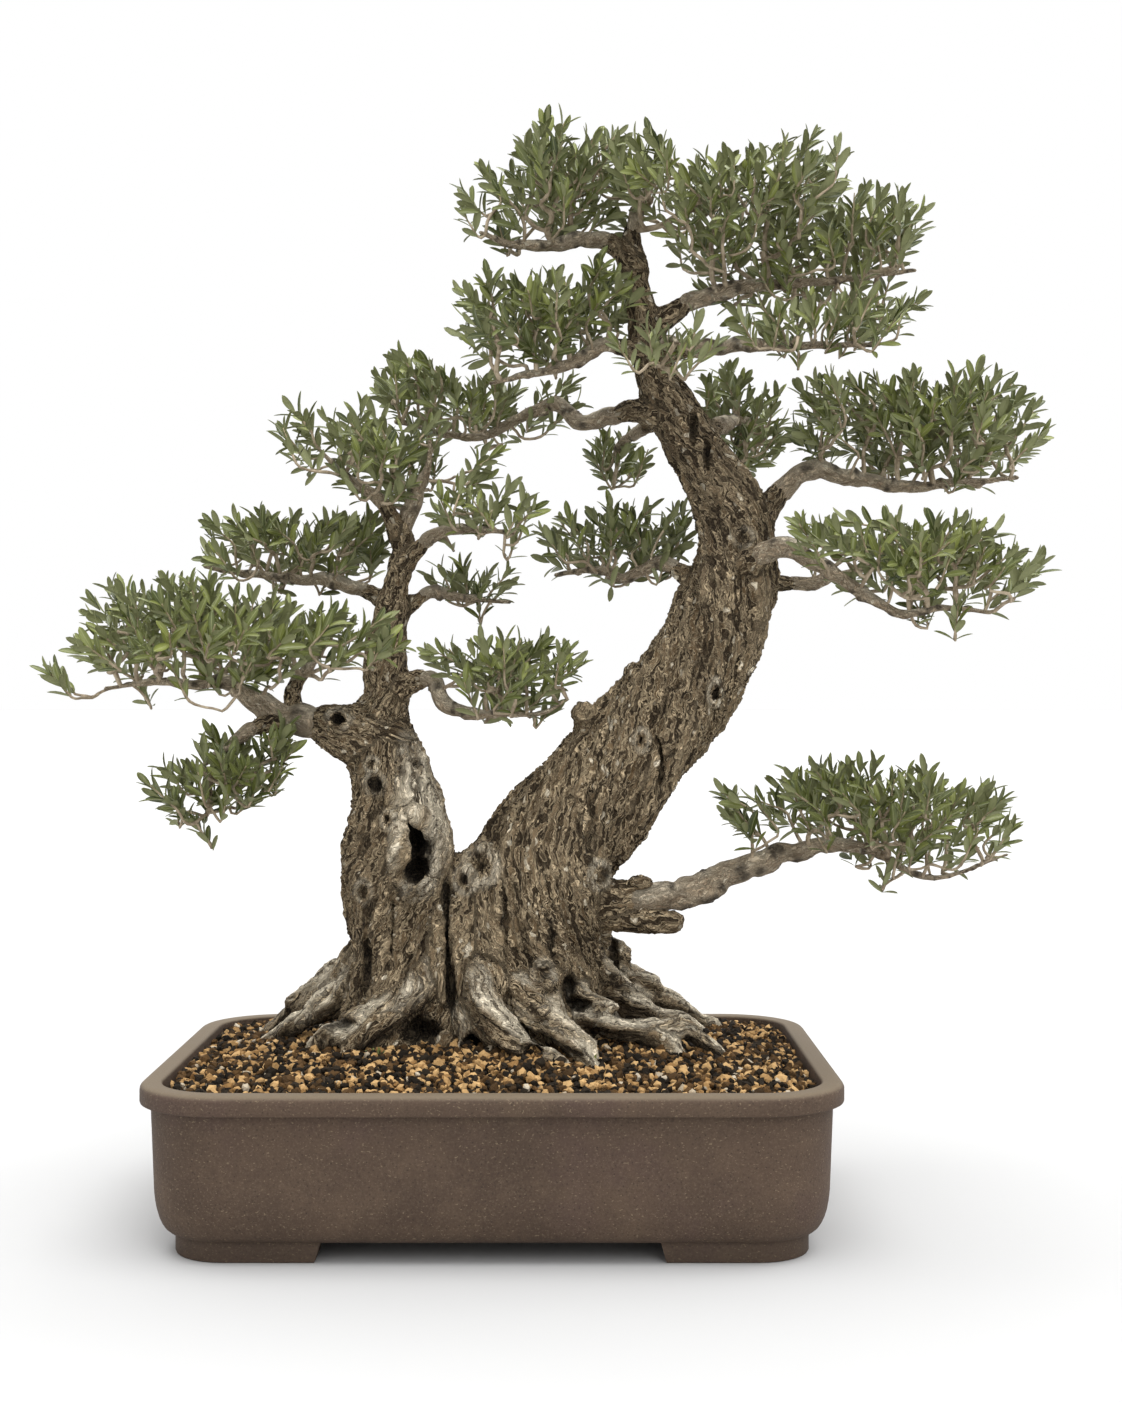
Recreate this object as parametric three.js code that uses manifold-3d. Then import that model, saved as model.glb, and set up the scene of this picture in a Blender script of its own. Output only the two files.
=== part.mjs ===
// A twin-trunk olive bonsai growing in a shallow clay pot, as separate closed solids.
// Millimetres, +Z up. The side with the best view of both trunks faces -Y.
// The origin is the bottom centre of the whole object's bounding box.
import * as THREE from "three";
import { mergeVertices } from "three/addons/utils/BufferGeometryUtils.js";
import Module from "manifold-3d";

const wasm = await Module();
wasm.setup();

// ---------------------------------------------------------------- sizes

// Pot: a rounded rectangle with a flat lip, a rounded base and four L-shaped feet.
const rimLength = 420;
const rimDepth = 300;
const rimCorner = 54;
const potHeight = 101;
const lipWidth = 13.5;
const lipHeight = 12;
const lipOverhang = 6.5;
const lipRound = 4;
const potWall = 8.5;
const bodyTaper = 1.8;
const baseRise = 29;
const baseInset = 10.6;
const floorThickness = 10;
const floorFillet = 12;
const footHeight = 12.5;
const footLength = 90;
const footSideLength = 66;
const footWidth = 24;
const footInset = 21;
const footSlant = 3.5;
const drainDiameter = 28;
const drainSpacing = 190;

// Plastic mesh over each drain hole, held by a bent wire.
const screenSize = 56;
const screenThickness = 1.6;
const screenBar = 2.2;
const screenCells = 4;
const wireDiameter = 1.6;
const wireTail = 18;

// Soil: stays below the lip at the edge and rises to the trunk.
const soilBelowRim = 5;
const soilMound = 12;

// Tree: the tables below are drawn for this height of the leader above the soil.
const drawnHeight = 578;
const treeHeight = 578;
const woodThickness = 1;
const foliageFullness = 1;
const cloudDetail = 2;
const rootPlateDepth = 28;

// Space kept between two pieces that touch in the real object, and round the soft leaf clouds.
const gap = 0.3;
const cloudGap = 1.2;

const floorTop = footHeight + floorThickness;
const soilLevel = potHeight - soilBelowRim;
const treeScale = treeHeight / drawnHeight;

// ---------------------------------------------------------------- the tree's tables

// Each limb is a list of [x, y, z, radius], from its thick end to its thin end.
// x and y are measured from the pot's centre, z from the soil's level at the pot's wall.
const rightTrunk = [
  [16, 12, 10, 50], [16, 12, 36, 49], [18, 12, 72, 47], [25, 10, 107, 46], [43, 8, 146, 41],
  [89, 6, 199, 36], [129, 4, 252, 33], [150, 2, 300, 28], [154, 2, 330, 25], [149, 4, 356, 22],
  [137, 6, 382, 18], [123, 8, 406, 17], [111, 8, 427, 15.5], [102, 6, 446, 13], [97, 4, 466, 11],
  [93, 4, 492, 8.5], [88, 4, 516, 7],
];
const leftTrunk = [
  [-64, 0, 12, 37], [-63, 0, 38, 33], [-64, 0, 64, 30], [-66, 0, 99, 31], [-64, -2, 135, 33],
  [-67, -4, 167, 28], [-73, -4, 192, 24], [-77, -2, 211, 21], [-73, 0, 232, 14.5], [-73, 2, 256, 13],
  [-69, 4, 282, 10.5], [-66, 6, 306, 8.5], [-62, 8, 328, 7.5], [-64, 8, 342, 6.5],
];
const stub = [[60, 4, 94, 11], [92, -3, 90, 8.2], [113, -5, 89, 7]];
// The mass of wood that fills the fork between the two trunks.
const crotch = [[-30, 2, 60, 28], [-24, 0, 96, 23], [-18, -2, 118, 13]];
const roots = [
  [
    [-78, 16, 64, 19], [-102, 28, 47, 13], [-118, 38, 36, 10], [-136, 50, 26, 8], [-152, 62, 12, 5],
    [-171, 74, -2, 3],
  ],
  [[-78, 6, 52, 17], [-97, 14, 39, 12], [-125, 22, 24, 8], [-140, 30, 15, 6], [-158, 38, 1, 3.5]],
  [
    [-50, -10, 62, 17], [-54, -22, 47, 12], [-68, -28, 36, 10], [-91, -28, 24, 9], [-110, -24, 14, 7],
    [-124, -20, 1, 4.5],
  ],
  [[-52, -20, 46, 12], [-74, -38, 25, 6.5], [-90, -38, 12, 5], [-104, -38, 0, 3]],
  [[-14, -8, 56, 12], [-20, -22, 33, 4.5], [-22, -26, 16, 4], [-22, -28, 3, 3.5]],
  [
    [-2, -16, 60, 17], [-4, -38, 40, 11], [2, -46, 30, 9], [13, -56, 18, 7], [38, -64, 10, 4.5],
    [50, -70, 1, 3],
  ],
  [[14, -14, 62, 18], [24, -36, 41, 12.5], [43, -50, 25, 9.5], [55, -62, 16, 7.5], [67, -72, 4, 4.5]],
  [
    [34, -4, 62, 18], [51, -16, 39, 12], [73, -20, 28, 9.5], [98, -22, 21, 7.5], [119, -22, 22, 7],
    [134, -22, 12, 5], [148, -22, 0, 3],
  ],
  [[94, -22, 21, 7], [110, -32, 15, 5], [123, -38, 3, 3]],
  [[54, 18, 62, 17], [75, 36, 39, 10.5], [101, 46, 21, 7.5], [125, 54, 13, 5.5], [143, 60, 3, 3]],
  [[54, 30, 76, 19], [82, 52, 47, 11.5], [108, 68, 29, 8], [131, 82, 14, 5.5], [159, 98, -1, 3]],
  [[-20, 40, 60, 18], [-34, 66, 34, 11], [-52, 88, 16, 7], [-70, 104, 1, 3.5]],
  [[18, 46, 60, 20], [26, 78, 32, 11], [30, 100, 14, 7], [36, 116, 0, 3.5]],
];

// The hollow where an old limb rotted out of the left trunk: centre and half sizes.
const hollow = { at: [-49, -33, 139], half: [9, 17, 20] };

// A branch may start inside the trunk or inside a branch listed before it.
const branches = {
  low_right: [
    [54, 4, 100, 15], [78, 0, 102, 12], [103, -2, 103, 9], [132, -4, 112, 8.5], [161, -6, 124, 7.5],
    [202, -4, 136, 6], [241, -4, 135, 4], [278, -8, 117, 2.5], [328, -8, 132, 1.5],
  ],
  right_mid_front: [
    [153, -10, 311, 9], [166, -30, 323, 7], [185, -44, 326, 6], [209, -56, 310, 4.5], [248, -64, 286, 3.5],
    [275, -70, 288, 2.5], [303, -74, 285, 2],
  ],
  right_mid_back: [
    [168, 8, 310, 7], [188, 16, 308, 4.5], [208, 20, 310, 4], [231, 22, 316, 3], [268, 24, 321, 2],
  ],
  right_high: [
    [164, 4, 344, 10], [178, 6, 360, 7.5], [191, 8, 375, 6.5], [206, 10, 382, 6], [226, 12, 377, 5],
    [268, 16, 372, 4.5], [304, 20, 375, 3.5], [342, 22, 378, 2],
  ],
  mid_left: [
    [136, 4, 306, 8], [125, 12, 312, 6], [106, 24, 321, 4.5], [84, 36, 313, 4], [67, 44, 319, 3.5],
    [37, 50, 316, 2],
  ],
  back_right: [[132, 10, 406, 8], [149, 46, 416, 5], [163, 84, 425, 4], [175, 120, 431, 2.5]],
  back_left: [[110, 12, 416, 6], [94, 40, 412, 4], [81, 74, 406, 3], [77, 98, 399, 2]],
  upper_left_low: [
    [104, 6, 419, 9], [87, 12, 421, 6.5], [73, 20, 418, 5.5], [54, 30, 416, 5], [35, 40, 430, 4.5],
    [10, 46, 419, 4], [-13, 50, 409, 3.5], [-40, 52, 412, 2.5], [-71, 54, 420, 2],
  ],
  upper_left_high: [
    [101, 2, 456, 8], [79, -6, 459, 5], [67, -10, 459, 4.5], [49, -16, 447, 4], [21, -20, 439, 3],
    [-4, -24, 433, 2],
  ],
  crown_right: [
    [102, 4, 456, 7], [129, -12, 457, 5], [167, -26, 456, 4], [204, -34, 455, 3], [241, -40, 455, 2],
  ],
  crown_front: [[104, 2, 461, 7], [109, -26, 458, 4.5], [110, -52, 455, 3], [111, -78, 449, 2]],
  top_right: [
    [99, 6, 474, 8], [121, 4, 488, 6], [134, 2, 493, 5], [157, 4, 499, 4.5], [197, 10, 504, 3.5],
    [237, 16, 509, 3], [274, 20, 514, 2],
  ],
  apex_left: [
    [90, 4, 512, 7], [74, 0, 527, 6], [57, -4, 529, 5], [38, -8, 525, 4.5], [12, -12, 524, 3.5],
    [-11, -14, 531, 2],
  ],
  apex: [[88, 4, 512, 6.5], [88, 6, 540, 5], [96, 8, 560, 4], [105, 8, 578, 2.5]],
  left_big: [
    [-74, -4, 203, 18], [-98, -10, 212, 15], [-118, -12, 218, 10.5], [-136, -14, 221, 8.5],
    [-157, -18, 234, 6.5],
    [-172, -20, 243, 5.5], [-193, -22, 242, 4], [-220, -24, 243, 3], [-248, -26, 239, 2],
  ],
  left_big_up: [
    [-128, -12, 219, 6], [-132, -10, 235, 5], [-124, -6, 250, 4], [-116, 0, 261, 3], [-108, 4, 272, 2],
  ],
  left_lower: [
    [-135, -14, 218, 6], [-147, -24, 216, 5], [-158, -30, 211, 4.5], [-174, -34, 199, 3],
    [-186, -36, 189, 2],
  ],
  left_right_low: [
    [-68, -2, 236, 9], [-53, -10, 244, 6], [-41, -18, 244, 5], [-33, -24, 230, 5], [-23, -28, 224, 4],
    [-1, -32, 223, 3], [28, -36, 223, 2], [45, -38, 232, 1.5],
  ],
  left_second: [
    [-69, 6, 288, 8], [-80, 14, 300, 5], [-109, 26, 309, 4.5], [-139, 34, 313, 3.5], [-170, 42, 316, 3],
    [-198, 46, 321, 2],
  ],
  left_small_right: [
    [-68, 6, 286, 6], [-56, 14, 295, 4.5], [-42, 22, 303, 4], [-28, 28, 300, 3.5], [-9, 34, 298, 2.5],
    [7, 38, 297, 1.5],
  ],
  left_top_right: [
    [-64, 6, 318, 6], [-51, 0, 330, 5], [-36, -12, 339, 4], [-11, -24, 340, 3], [11, -32, 337, 2],
  ],
  left_top_left: [
    [-64, 8, 338, 6], [-71, 6, 354, 5], [-79, 4, 363, 4.5], [-87, 2, 368, 3.5], [-102, 0, 380, 2.5],
    [-115, 0, 393, 2],
  ],
  left_top_mid: [
    [-63, 8, 340, 5.5], [-56, 8, 357, 5], [-51, 6, 369, 4], [-45, 4, 384, 3], [-44, 2, 400, 2],
  ],
};

// Each cloud of leaves is a few overlapping lobes: [x, y, z, half length, half depth, half height].
const foliage = {
  low_right: [
    [159, -12, 158, 24, 42, 24], [210, -10, 167, 38, 58, 32], [258, -10, 156, 42, 64, 40],
    [304, -8, 149, 32, 54, 35], [330, -8, 135, 19, 34, 21],
  ],
  right_mid: [
    [202, -48, 328, 27, 54, 22], [242, -70, 317, 35, 72, 29], [280, -76, 313, 35, 70, 34],
    [315, -72, 310, 22, 50, 23],
  ],
  right_high: [
    [216, 5, 413, 30, 52, 33], [264, 20, 410, 39, 68, 40], [305, 15, 411, 39, 68, 40],
    [340, 20, 403, 28, 48, 34],
  ],
  mid_left: [[43, 52, 334, 29, 46, 25], [83, 50, 339, 32, 56, 29], [117, 48, 336, 19, 42, 29]],
  back_right: [[158, 118, 445, 23, 50, 27], [180, 124, 423, 27, 56, 34]],
  back_left: [[68, 88, 403, 17, 34, 17], [88, 96, 401, 19, 42, 20]],
  crown_front: [[89, -76, 447, 23, 42, 20], [123, -78, 452, 22, 42, 17]],
  crown_right_low: [[181, -42, 455, 36, 40, 14], [224, -46, 457, 32, 38, 14]],
  crown_right: [
    [246, 26, 539, 38, 66, 33], [201, 20, 513, 45, 76, 30], [252, 22, 495, 35, 56, 25],
    [161, 34, 503, 33, 52, 23],
  ],
  apex: [[97, -25, 555, 32, 58, 37], [146, 10, 548, 39, 72, 40], [189, 0, 558, 39, 68, 38]],
  apex_left: [[-3, -12, 549, 28, 48, 26], [34, -5, 567, 32, 62, 39], [68, 5, 571, 27, 58, 32]],
  upper_left_high: [[-4, -22, 470, 32, 52, 32], [35, -22, 473, 38, 68, 32], [70, -8, 489, 28, 52, 27]],
  upper_left_low: [[-57, 52, 437, 30, 54, 31], [-15, 54, 429, 38, 64, 26], [35, 50, 432, 32, 50, 21]],
  left_big: [
    [-265, -30, 237, 27, 50, 25], [-233, -32, 266, 33, 72, 42], [-195, -28, 273, 39, 86, 40],
    [-153, -20, 271, 38, 84, 34], [-109, -20, 269, 34, 64, 28], [-69, -54, 269, 20, 36, 21],
  ],
  left_lower: [[-194, -38, 171, 28, 40, 28], [-164, -34, 186, 31, 48, 28], [-143, -28, 196, 23, 42, 25]],
  left_right_low: [[-38, -24, 252, 22, 36, 23], [3, -32, 244, 32, 54, 32], [40, -38, 245, 23, 42, 28]],
  left_second: [[-183, 44, 331, 28, 50, 26], [-144, 44, 333, 35, 66, 28], [-100, 38, 334, 33, 58, 28]],
  left_small_right: [[-31, 36, 308, 24, 38, 23], [-2, 40, 305, 23, 34, 21]],
  left_top_right: [[-23, -28, 344, 25, 38, 20], [9, -34, 342, 21, 34, 19]],
  left_top: [
    [-125, 0, 398, 27, 46, 25], [-94, 0, 388, 32, 64, 36], [-55, 0, 388, 36, 64, 32],
    [-14, -5, 381, 26, 48, 24],
  ],
};

const barkColour = 0x766b5c;
const colours = {
  clay: { color: 0x5e4e43, roughness: 0.85, metalness: 0 },
  mesh: { color: 0x23262a, roughness: 0.6, metalness: 0 },
  wire: { color: 0xa9adb2, roughness: 0.35, metalness: 0.9 },
  soil: { color: 0x6b5236, roughness: 0.95, metalness: 0 },
  bark: { color: barkColour, roughness: 0.92, metalness: 0 },
  twig: { color: 0x857868, roughness: 0.88, metalness: 0 },
  leaf: { color: 0x4c5b37, roughness: 0.55, metalness: 0 },
};

// ---------------------------------------------------------------- shape helpers

// A solid from rings of points, each ring counter-clockwise as seen looking back along the path.
function loft(rings) {
  const count = rings[0].length;
  const points = rings.flat();
  const middle = (ring) => ring.reduce((sum, p) => sum.add(p), new THREE.Vector3()).divideScalar(count);
  points.push(middle(rings[0]), middle(rings.at(-1)));
  const first = points.length - 2;
  const last = points.length - 1;
  const top = (rings.length - 1) * count;
  const faces = [];
  for (let i = 0; i < count; i++) {
    const j = (i + 1) % count;
    faces.push(first, j, i);
    faces.push(last, top + i, top + j);
    for (let k = 0; k < top; k += count) {
      faces.push(k + i, k + j, k + count + j);
      faces.push(k + i, k + count + j, k + count + i);
    }
  }
  return new THREE.BufferGeometry().setFromPoints(points).setIndex(faces);
}

// A closed three.js geometry as a manifold solid.
function solid(geometry) {
  const bare = geometry.clone();
  bare.deleteAttribute("normal");
  bare.deleteAttribute("uv");
  const merged = mergeVertices(bare, 1e-4);
  return new wasm.Manifold(
    new wasm.Mesh({
      numProp: 3,
      vertProperties: new Float32Array(merged.attributes.position.array),
      triVerts: new Uint32Array(merged.index.array),
    }),
  );
}

// A manifold solid back as a three.js geometry.
function geometryOf(body) {
  const mesh = body.getMesh();
  const geometry = new THREE.BufferGeometry();
  geometry.setAttribute("position", new THREE.BufferAttribute(mesh.vertProperties, 3));
  geometry.setIndex(new THREE.BufferAttribute(mesh.triVerts, 1));
  geometry.computeVertexNormals();
  return geometry;
}

// The largest body of a cut solid without its slivers.
// The most that any corner moves is a third of the space kept round the solid.
function trimmed(body, space) {
  return body
    .simplify(space / 3)
    .decompose()
    .reduce((best, one) => (one.volume() > best.volume() ? one : best));
}

// A rounded rectangle at height z, the given inset in from the pot's rim.
function outline(inset, z, cornerSteps = 6) {
  const halfX = rimLength / 2 - inset;
  const halfY = rimDepth / 2 - inset;
  const corner = Math.max(rimCorner - inset, 8);
  const points = [];
  for (let quarter = 0; quarter < 4; quarter++) {
    const signX = quarter === 0 || quarter === 3 ? 1 : -1;
    const signY = quarter < 2 ? 1 : -1;
    for (let step = 0; step <= cornerSteps; step++) {
      const angle = ((quarter + step / cornerSteps) * Math.PI) / 2;
      points.push(
        new THREE.Vector3(
          signX * (halfX - corner) + corner * Math.cos(angle),
          signY * (halfY - corner) + corner * Math.sin(angle),
          z,
        ),
      );
    }
  }
  return points;
}

// A box between two heights whose half width changes from the bottom to the top.
function taperedBox(halfLength, halfBottom, halfTop, bottom, top, alongX) {
  const ring = (half, z) => {
    const [reachX, reachY] = alongX ? [halfLength, half] : [half, halfLength];
    const signs = [[1, 1], [-1, 1], [-1, -1], [1, -1]];
    return signs.map(([a, b]) => new THREE.Vector3(a * reachX, b * reachY, z));
  };
  return solid(loft([ring(halfBottom, bottom), ring(halfTop, top)]));
}

function box(x, y, z, length, depth, height) {
  return solid(new THREE.BoxGeometry(length, depth, height).translate(x, y, z));
}

// A table row in the pot's frame: the tree is scaled about the soil's centre and stands in the soil.
function placed([x, y, z, radius]) {
  return {
    at: new THREE.Vector3(x * treeScale, y * treeScale, soilLevel + z * treeScale),
    radius: radius * treeScale * woodThickness,
  };
}

// A root turns down before it meets the pot's wall.
function insidePot({ at, radius }) {
  const inset = lipOverhang + potWall + bodyTaper + radius + 6 * gap;
  const reachX = rimLength / 2 - inset;
  const reachY = rimDepth / 2 - inset;
  at.x = THREE.MathUtils.clamp(at.x, -reachX, reachX);
  at.y = THREE.MathUtils.clamp(at.y, -reachY, reachY);
  return { at, radius };
}

// A tapering limb through its table's rows, thicker all over by the amount grown.
// Each ring stands square to the limb, and its corners follow on from the ring before without twisting.
function limb(rows, sides, ringsPerRow = 1, grown = 0) {
  const curve = new THREE.CatmullRomCurve3(rows.map((row) => row.at));
  const steps = (rows.length - 1) * ringsPerRow;
  const across = new THREE.Vector3(0.3, 1, 0.2);
  const rings = [];
  for (let step = 0; step <= steps; step++) {
    const along = step / ringsPerRow;
    const index = Math.min(Math.floor(along), rows.length - 2);
    const radius = grown + THREE.MathUtils.lerp(rows[index].radius, rows[index + 1].radius, along - index);
    const tangent = curve.getTangent(step / steps);
    const centre = curve.getPoint(step / steps);
    if (step === 0) centre.addScaledVector(tangent, -grown);
    if (step === steps) centre.addScaledVector(tangent, grown);
    across.addScaledVector(tangent, -across.dot(tangent)).normalize();
    const beside = tangent.clone().cross(across);
    const ring = [];
    for (let side = 0; side < sides; side++) {
      const angle = (side / sides) * 2 * Math.PI;
      const out = across.clone().multiplyScalar(Math.cos(angle)).addScaledVector(beside, Math.sin(angle));
      ring.push(centre.clone().addScaledVector(out, radius));
    }
    rings.push(ring);
  }
  return solid(loft(rings));
}

function ellipsoid([x, y, z], [halfX, halfY, halfZ], detail = 1) {
  const ball = new THREE.IcosahedronGeometry(1, detail);
  return solid(ball.scale(halfX, halfY, halfZ).translate(x, y, z));
}

function union(bodies) {
  return bodies.reduce((all, one) => all.add(one));
}

// ---------------------------------------------------------------- pot

// The inside of the pot as [inset, height], from the floor up to the lip.
const insideProfile = [
  [lipOverhang + potWall + bodyTaper + floorFillet, floorTop],
  [lipOverhang + potWall + bodyTaper + floorFillet * 0.3, floorTop + floorFillet * 0.3],
  [lipOverhang + potWall + bodyTaper, floorTop + floorFillet],
  [lipOverhang + potWall, potHeight - lipHeight - lipRound],
  [lipWidth, potHeight - lipRound / 2],
  [lipWidth - lipRound / 2, potHeight],
];

// The outside as [inset, height], from the underside up to the lip.
function outsideProfile() {
  const profile = [];
  for (const turn of [0, 0.3, 0.6, 1]) {
    const angle = (turn * Math.PI) / 2;
    profile.push([
      lipOverhang + bodyTaper + baseInset * (1 - Math.sin(angle)),
      footHeight + baseRise * (1 - Math.cos(angle)),
    ]);
  }
  profile.push([lipOverhang, potHeight - lipHeight]);
  profile.push([lipRound / 4, potHeight - lipHeight]);
  profile.push([0, potHeight - lipHeight + lipRound / 2]);
  profile.push([0, potHeight - lipRound]);
  profile.push([lipRound * 0.3, potHeight - lipRound * 0.3]);
  profile.push([lipRound, potHeight]);
  return profile;
}

function potSolid() {
  const profile = [...outsideProfile(), ...insideProfile.toReversed()];
  const shell = solid(loft(profile.map(([inset, z]) => outline(inset, z))));
  const bury = 1;
  const outer = solid(loft([outline(footInset, 0), outline(footInset, footHeight + bury)]));
  const innerInset = footInset + footWidth;
  const inner = solid(loft([outline(innerInset, -1), outline(innerInset, footHeight + 2)]));
  const halfGapX = rimLength / 2 - footInset - footLength;
  const halfGapY = rimDepth / 2 - footInset - footSideLength;
  const feet = outer
    .subtract(inner)
    .subtract(taperedBox(rimDepth, halfGapX + footSlant, halfGapX, -1, footHeight + 2, false))
    .subtract(taperedBox(rimLength, halfGapY + footSlant, halfGapY, -1, footHeight + 2, true));
  const drains = [-1, 1].map((side) => {
    const drill = new THREE.CylinderGeometry(drainDiameter / 2, drainDiameter / 2, floorThickness * 3, 20);
    drill.rotateX(Math.PI / 2);
    return solid(drill.translate((side * drainSpacing) / 2, 0, footHeight + floorThickness / 2));
  });
  return shell.add(feet).subtract(union(drains));
}

// ---------------------------------------------------------------- drainage

const screenBottom = floorTop + gap;
const screenTop = screenBottom + screenThickness;
const wireRadius = wireDiameter / 2;
const wireTop = screenTop + gap + wireRadius;
const cellPitch = (screenSize - screenBar) / screenCells;

function screenSolid(side) {
  const centreX = (side * drainSpacing) / 2;
  const height = (screenBottom + screenTop) / 2;
  const cell = cellPitch - screenBar;
  const holes = [];
  for (let i = 0; i < screenCells; i++) {
    for (let j = 0; j < screenCells; j++) {
      const [x, y] = [i, j].map((k) => (k - (screenCells - 1) / 2) * cellPitch);
      holes.push(box(centreX + x, y, height, cell, cell, screenThickness * 2));
    }
  }
  return box(centreX, 0, height, screenSize, screenSize, screenThickness).subtract(union(holes));
}

// The wire goes up through one cell of the mesh, over it, down through the next and out under the pot.
function clipSolid(side) {
  const centreX = (side * drainSpacing) / 2;
  const under = footHeight - gap - wireRadius;
  const leg = cellPitch / 2;
  const corners = [
    [-leg - wireTail, under],
    [-leg, under],
    [-leg, wireTop],
    [leg, wireTop],
    [leg, under],
    [leg + wireTail, under],
  ].map(([x, z]) => new THREE.Vector3(centreX + x, cellPitch / 2, z));
  const path = new THREE.CurvePath();
  const bend = wireDiameter;
  let from = corners[0];
  for (let i = 1; i < corners.length - 1; i++) {
    const before = corners[i].clone().lerp(corners[i - 1], bend / corners[i].distanceTo(corners[i - 1]));
    const after = corners[i].clone().lerp(corners[i + 1], bend / corners[i].distanceTo(corners[i + 1]));
    path.add(new THREE.LineCurve3(from, before));
    path.add(new THREE.QuadraticBezierCurve3(before, corners[i], after));
    from = after;
  }
  path.add(new THREE.LineCurve3(from, corners.at(-1)));
  const section = new THREE.Shape().absarc(0, 0, wireRadius, 0, 2 * Math.PI);
  return solid(new THREE.ExtrudeGeometry(section, { steps: 22, curveSegments: 3, extrudePath: path }));
}

// ---------------------------------------------------------------- wood

const trunkRows = (rows) => {
  const foot = rows[0];
  return [[foot[0], foot[1], -rootPlateDepth, foot[3] * 0.85], ...rows].map(placed);
};

function trunkSolid(grown) {
  const limbs = [
    limb(trunkRows(rightTrunk), 12, 1, grown),
    limb(trunkRows(leftTrunk), 10, 1, grown),
    limb(stub.map(placed), 7, 1, grown),
    limb(crotch.map(placed), 8, 1, grown),
  ];
  for (const root of roots) {
    limbs.push(limb(root.map(placed).map(insidePot), 6, 1, grown));
  }
  return union(limbs);
}

// The space a limb needs inside a cloud of leaves: a square tube that its round section fits in.
function clearance(rows) {
  const square = rows.map(({ at, radius }) => ({ at, radius: (radius + cloudGap) * Math.SQRT2 }));
  return limb(square, 4);
}

function hollowSolid() {
  const [x, y, z] = hollow.at;
  const centre = [x * treeScale, y * treeScale, soilLevel + z * treeScale];
  return ellipsoid(centre, hollow.half.map((half) => half * treeScale));
}

// ---------------------------------------------------------------- soil

function soilSolid(wood) {
  const rings = insideProfile.slice(0, 3).map(([inset, z]) => outline(inset + gap, z));
  rings[0].forEach((p) => (p.z += gap));
  const wallInset = insideProfile[3][0] + gap;
  rings.push(outline(wallInset + bodyTaper, soilLevel));
  for (const [share, rise] of [[0.9, 0.2], [0.7, 0.55], [0.45, 0.85], [0.2, 1]]) {
    const height = soilLevel + rise * soilMound;
    const ring = outline(wallInset + bodyTaper, height);
    rings.push(ring.map((p) => new THREE.Vector3(p.x * share, p.y * share, p.z)));
  }
  const recessTop = wireTop + wireRadius + gap;
  const recessHeight = recessTop - floorTop + 2;
  const recessSize = screenSize + 2 * gap;
  const recesses = [-1, 1].map((side) =>
    box((side * drainSpacing) / 2, 0, recessTop - recessHeight / 2, recessSize, recessSize, recessHeight),
  );
  return trimmed(solid(loft(rings)).subtract(union(recesses)).subtract(wood), gap);
}

// ---------------------------------------------------------------- foliage

// How far a ray from a point leaves an ellipsoid behind, or 0 when it misses.
function exitDistance(from, direction, { at, half }) {
  const start = from.clone().sub(at).divide(half);
  const ray = direction.clone().divide(half);
  const a = ray.lengthSq();
  const b = start.dot(ray);
  const root = b * b - a * (start.lengthSq() - 1);
  return root < 0 ? 0 : (Math.sqrt(root) - b) / a;
}

// One closed skin round the lobes, seen from their middle.
function cloud(lobes, grown) {
  const balls = lobes.map(([x, y, z, ...half]) => ({
    at: placed([x, y, z, 0]).at,
    half: new THREE.Vector3(...half).multiplyScalar(treeScale * foliageFullness).addScalar(grown),
  }));
  const around = new THREE.Box3();
  for (const { at, half } of balls) {
    around.union(new THREE.Box3(at.clone().sub(half), at.clone().add(half)));
  }
  const middle = around.getCenter(new THREE.Vector3());
  const reach = around.getSize(new THREE.Vector3());
  const skin = new THREE.IcosahedronGeometry(1, cloudDetail);
  const corners = skin.attributes.position;
  for (let i = 0; i < corners.count; i++) {
    const direction = new THREE.Vector3().fromBufferAttribute(corners, i).multiply(reach).normalize();
    const distance = Math.max(...balls.map((ball) => exitDistance(middle, direction, ball)));
    const corner = direction.multiplyScalar(distance).add(middle);
    corners.setXYZ(i, corner.x, corner.y, corner.z);
  }
  return solid(skin);
}

// ---------------------------------------------------------------- assembly

const group = new THREE.Group();
group.name = "bonsai_tree_in_pot";

function addPiece(name, body, look) {
  const mesh = new THREE.Mesh(geometryOf(body), new THREE.MeshStandardMaterial(colours[look]));
  mesh.name = name;
  group.add(mesh);
}

addPiece("pot", potSolid(), "clay");
for (const [side, word] of [[-1, "left"], [1, "right"]]) {
  addPiece("drainage_mesh_" + word, screenSolid(side), "mesh");
  addPiece("mesh_clip_" + word, clipSolid(side), "wire");
}

addPiece("trunk", trimmed(trunkSolid(0).subtract(hollowSolid()), gap), "bark");
let wood = trunkSolid(gap);
let taken = union([rightTrunk, leftTrunk].map((table) => clearance(trunkRows(table))));
addPiece("soil", soilSolid(wood), "soil");

for (const [name, table] of Object.entries(branches)) {
  const rows = table.map(placed);
  addPiece("branch_" + name, trimmed(limb(rows, 7).subtract(wood), gap), "twig");
  wood = wood.add(limb(rows, 7, 1, gap));
  taken = taken.add(clearance(rows));
}

for (const [name, lobes] of Object.entries(foliage)) {
  addPiece("foliage_" + name, trimmed(cloud(lobes, 0).subtract(taken), cloudGap), "leaf");
  taken = taken.add(cloud(lobes, cloudGap));
}

// Stand the object on z = 0 with its box centred on the origin.
const bounds = new THREE.Box3().setFromObject(group);
const centre = bounds.getCenter(new THREE.Vector3());
group.children.forEach((mesh) => mesh.position.set(-centre.x, -centre.y, -bounds.min.z));

export default group;
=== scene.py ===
import math

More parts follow.
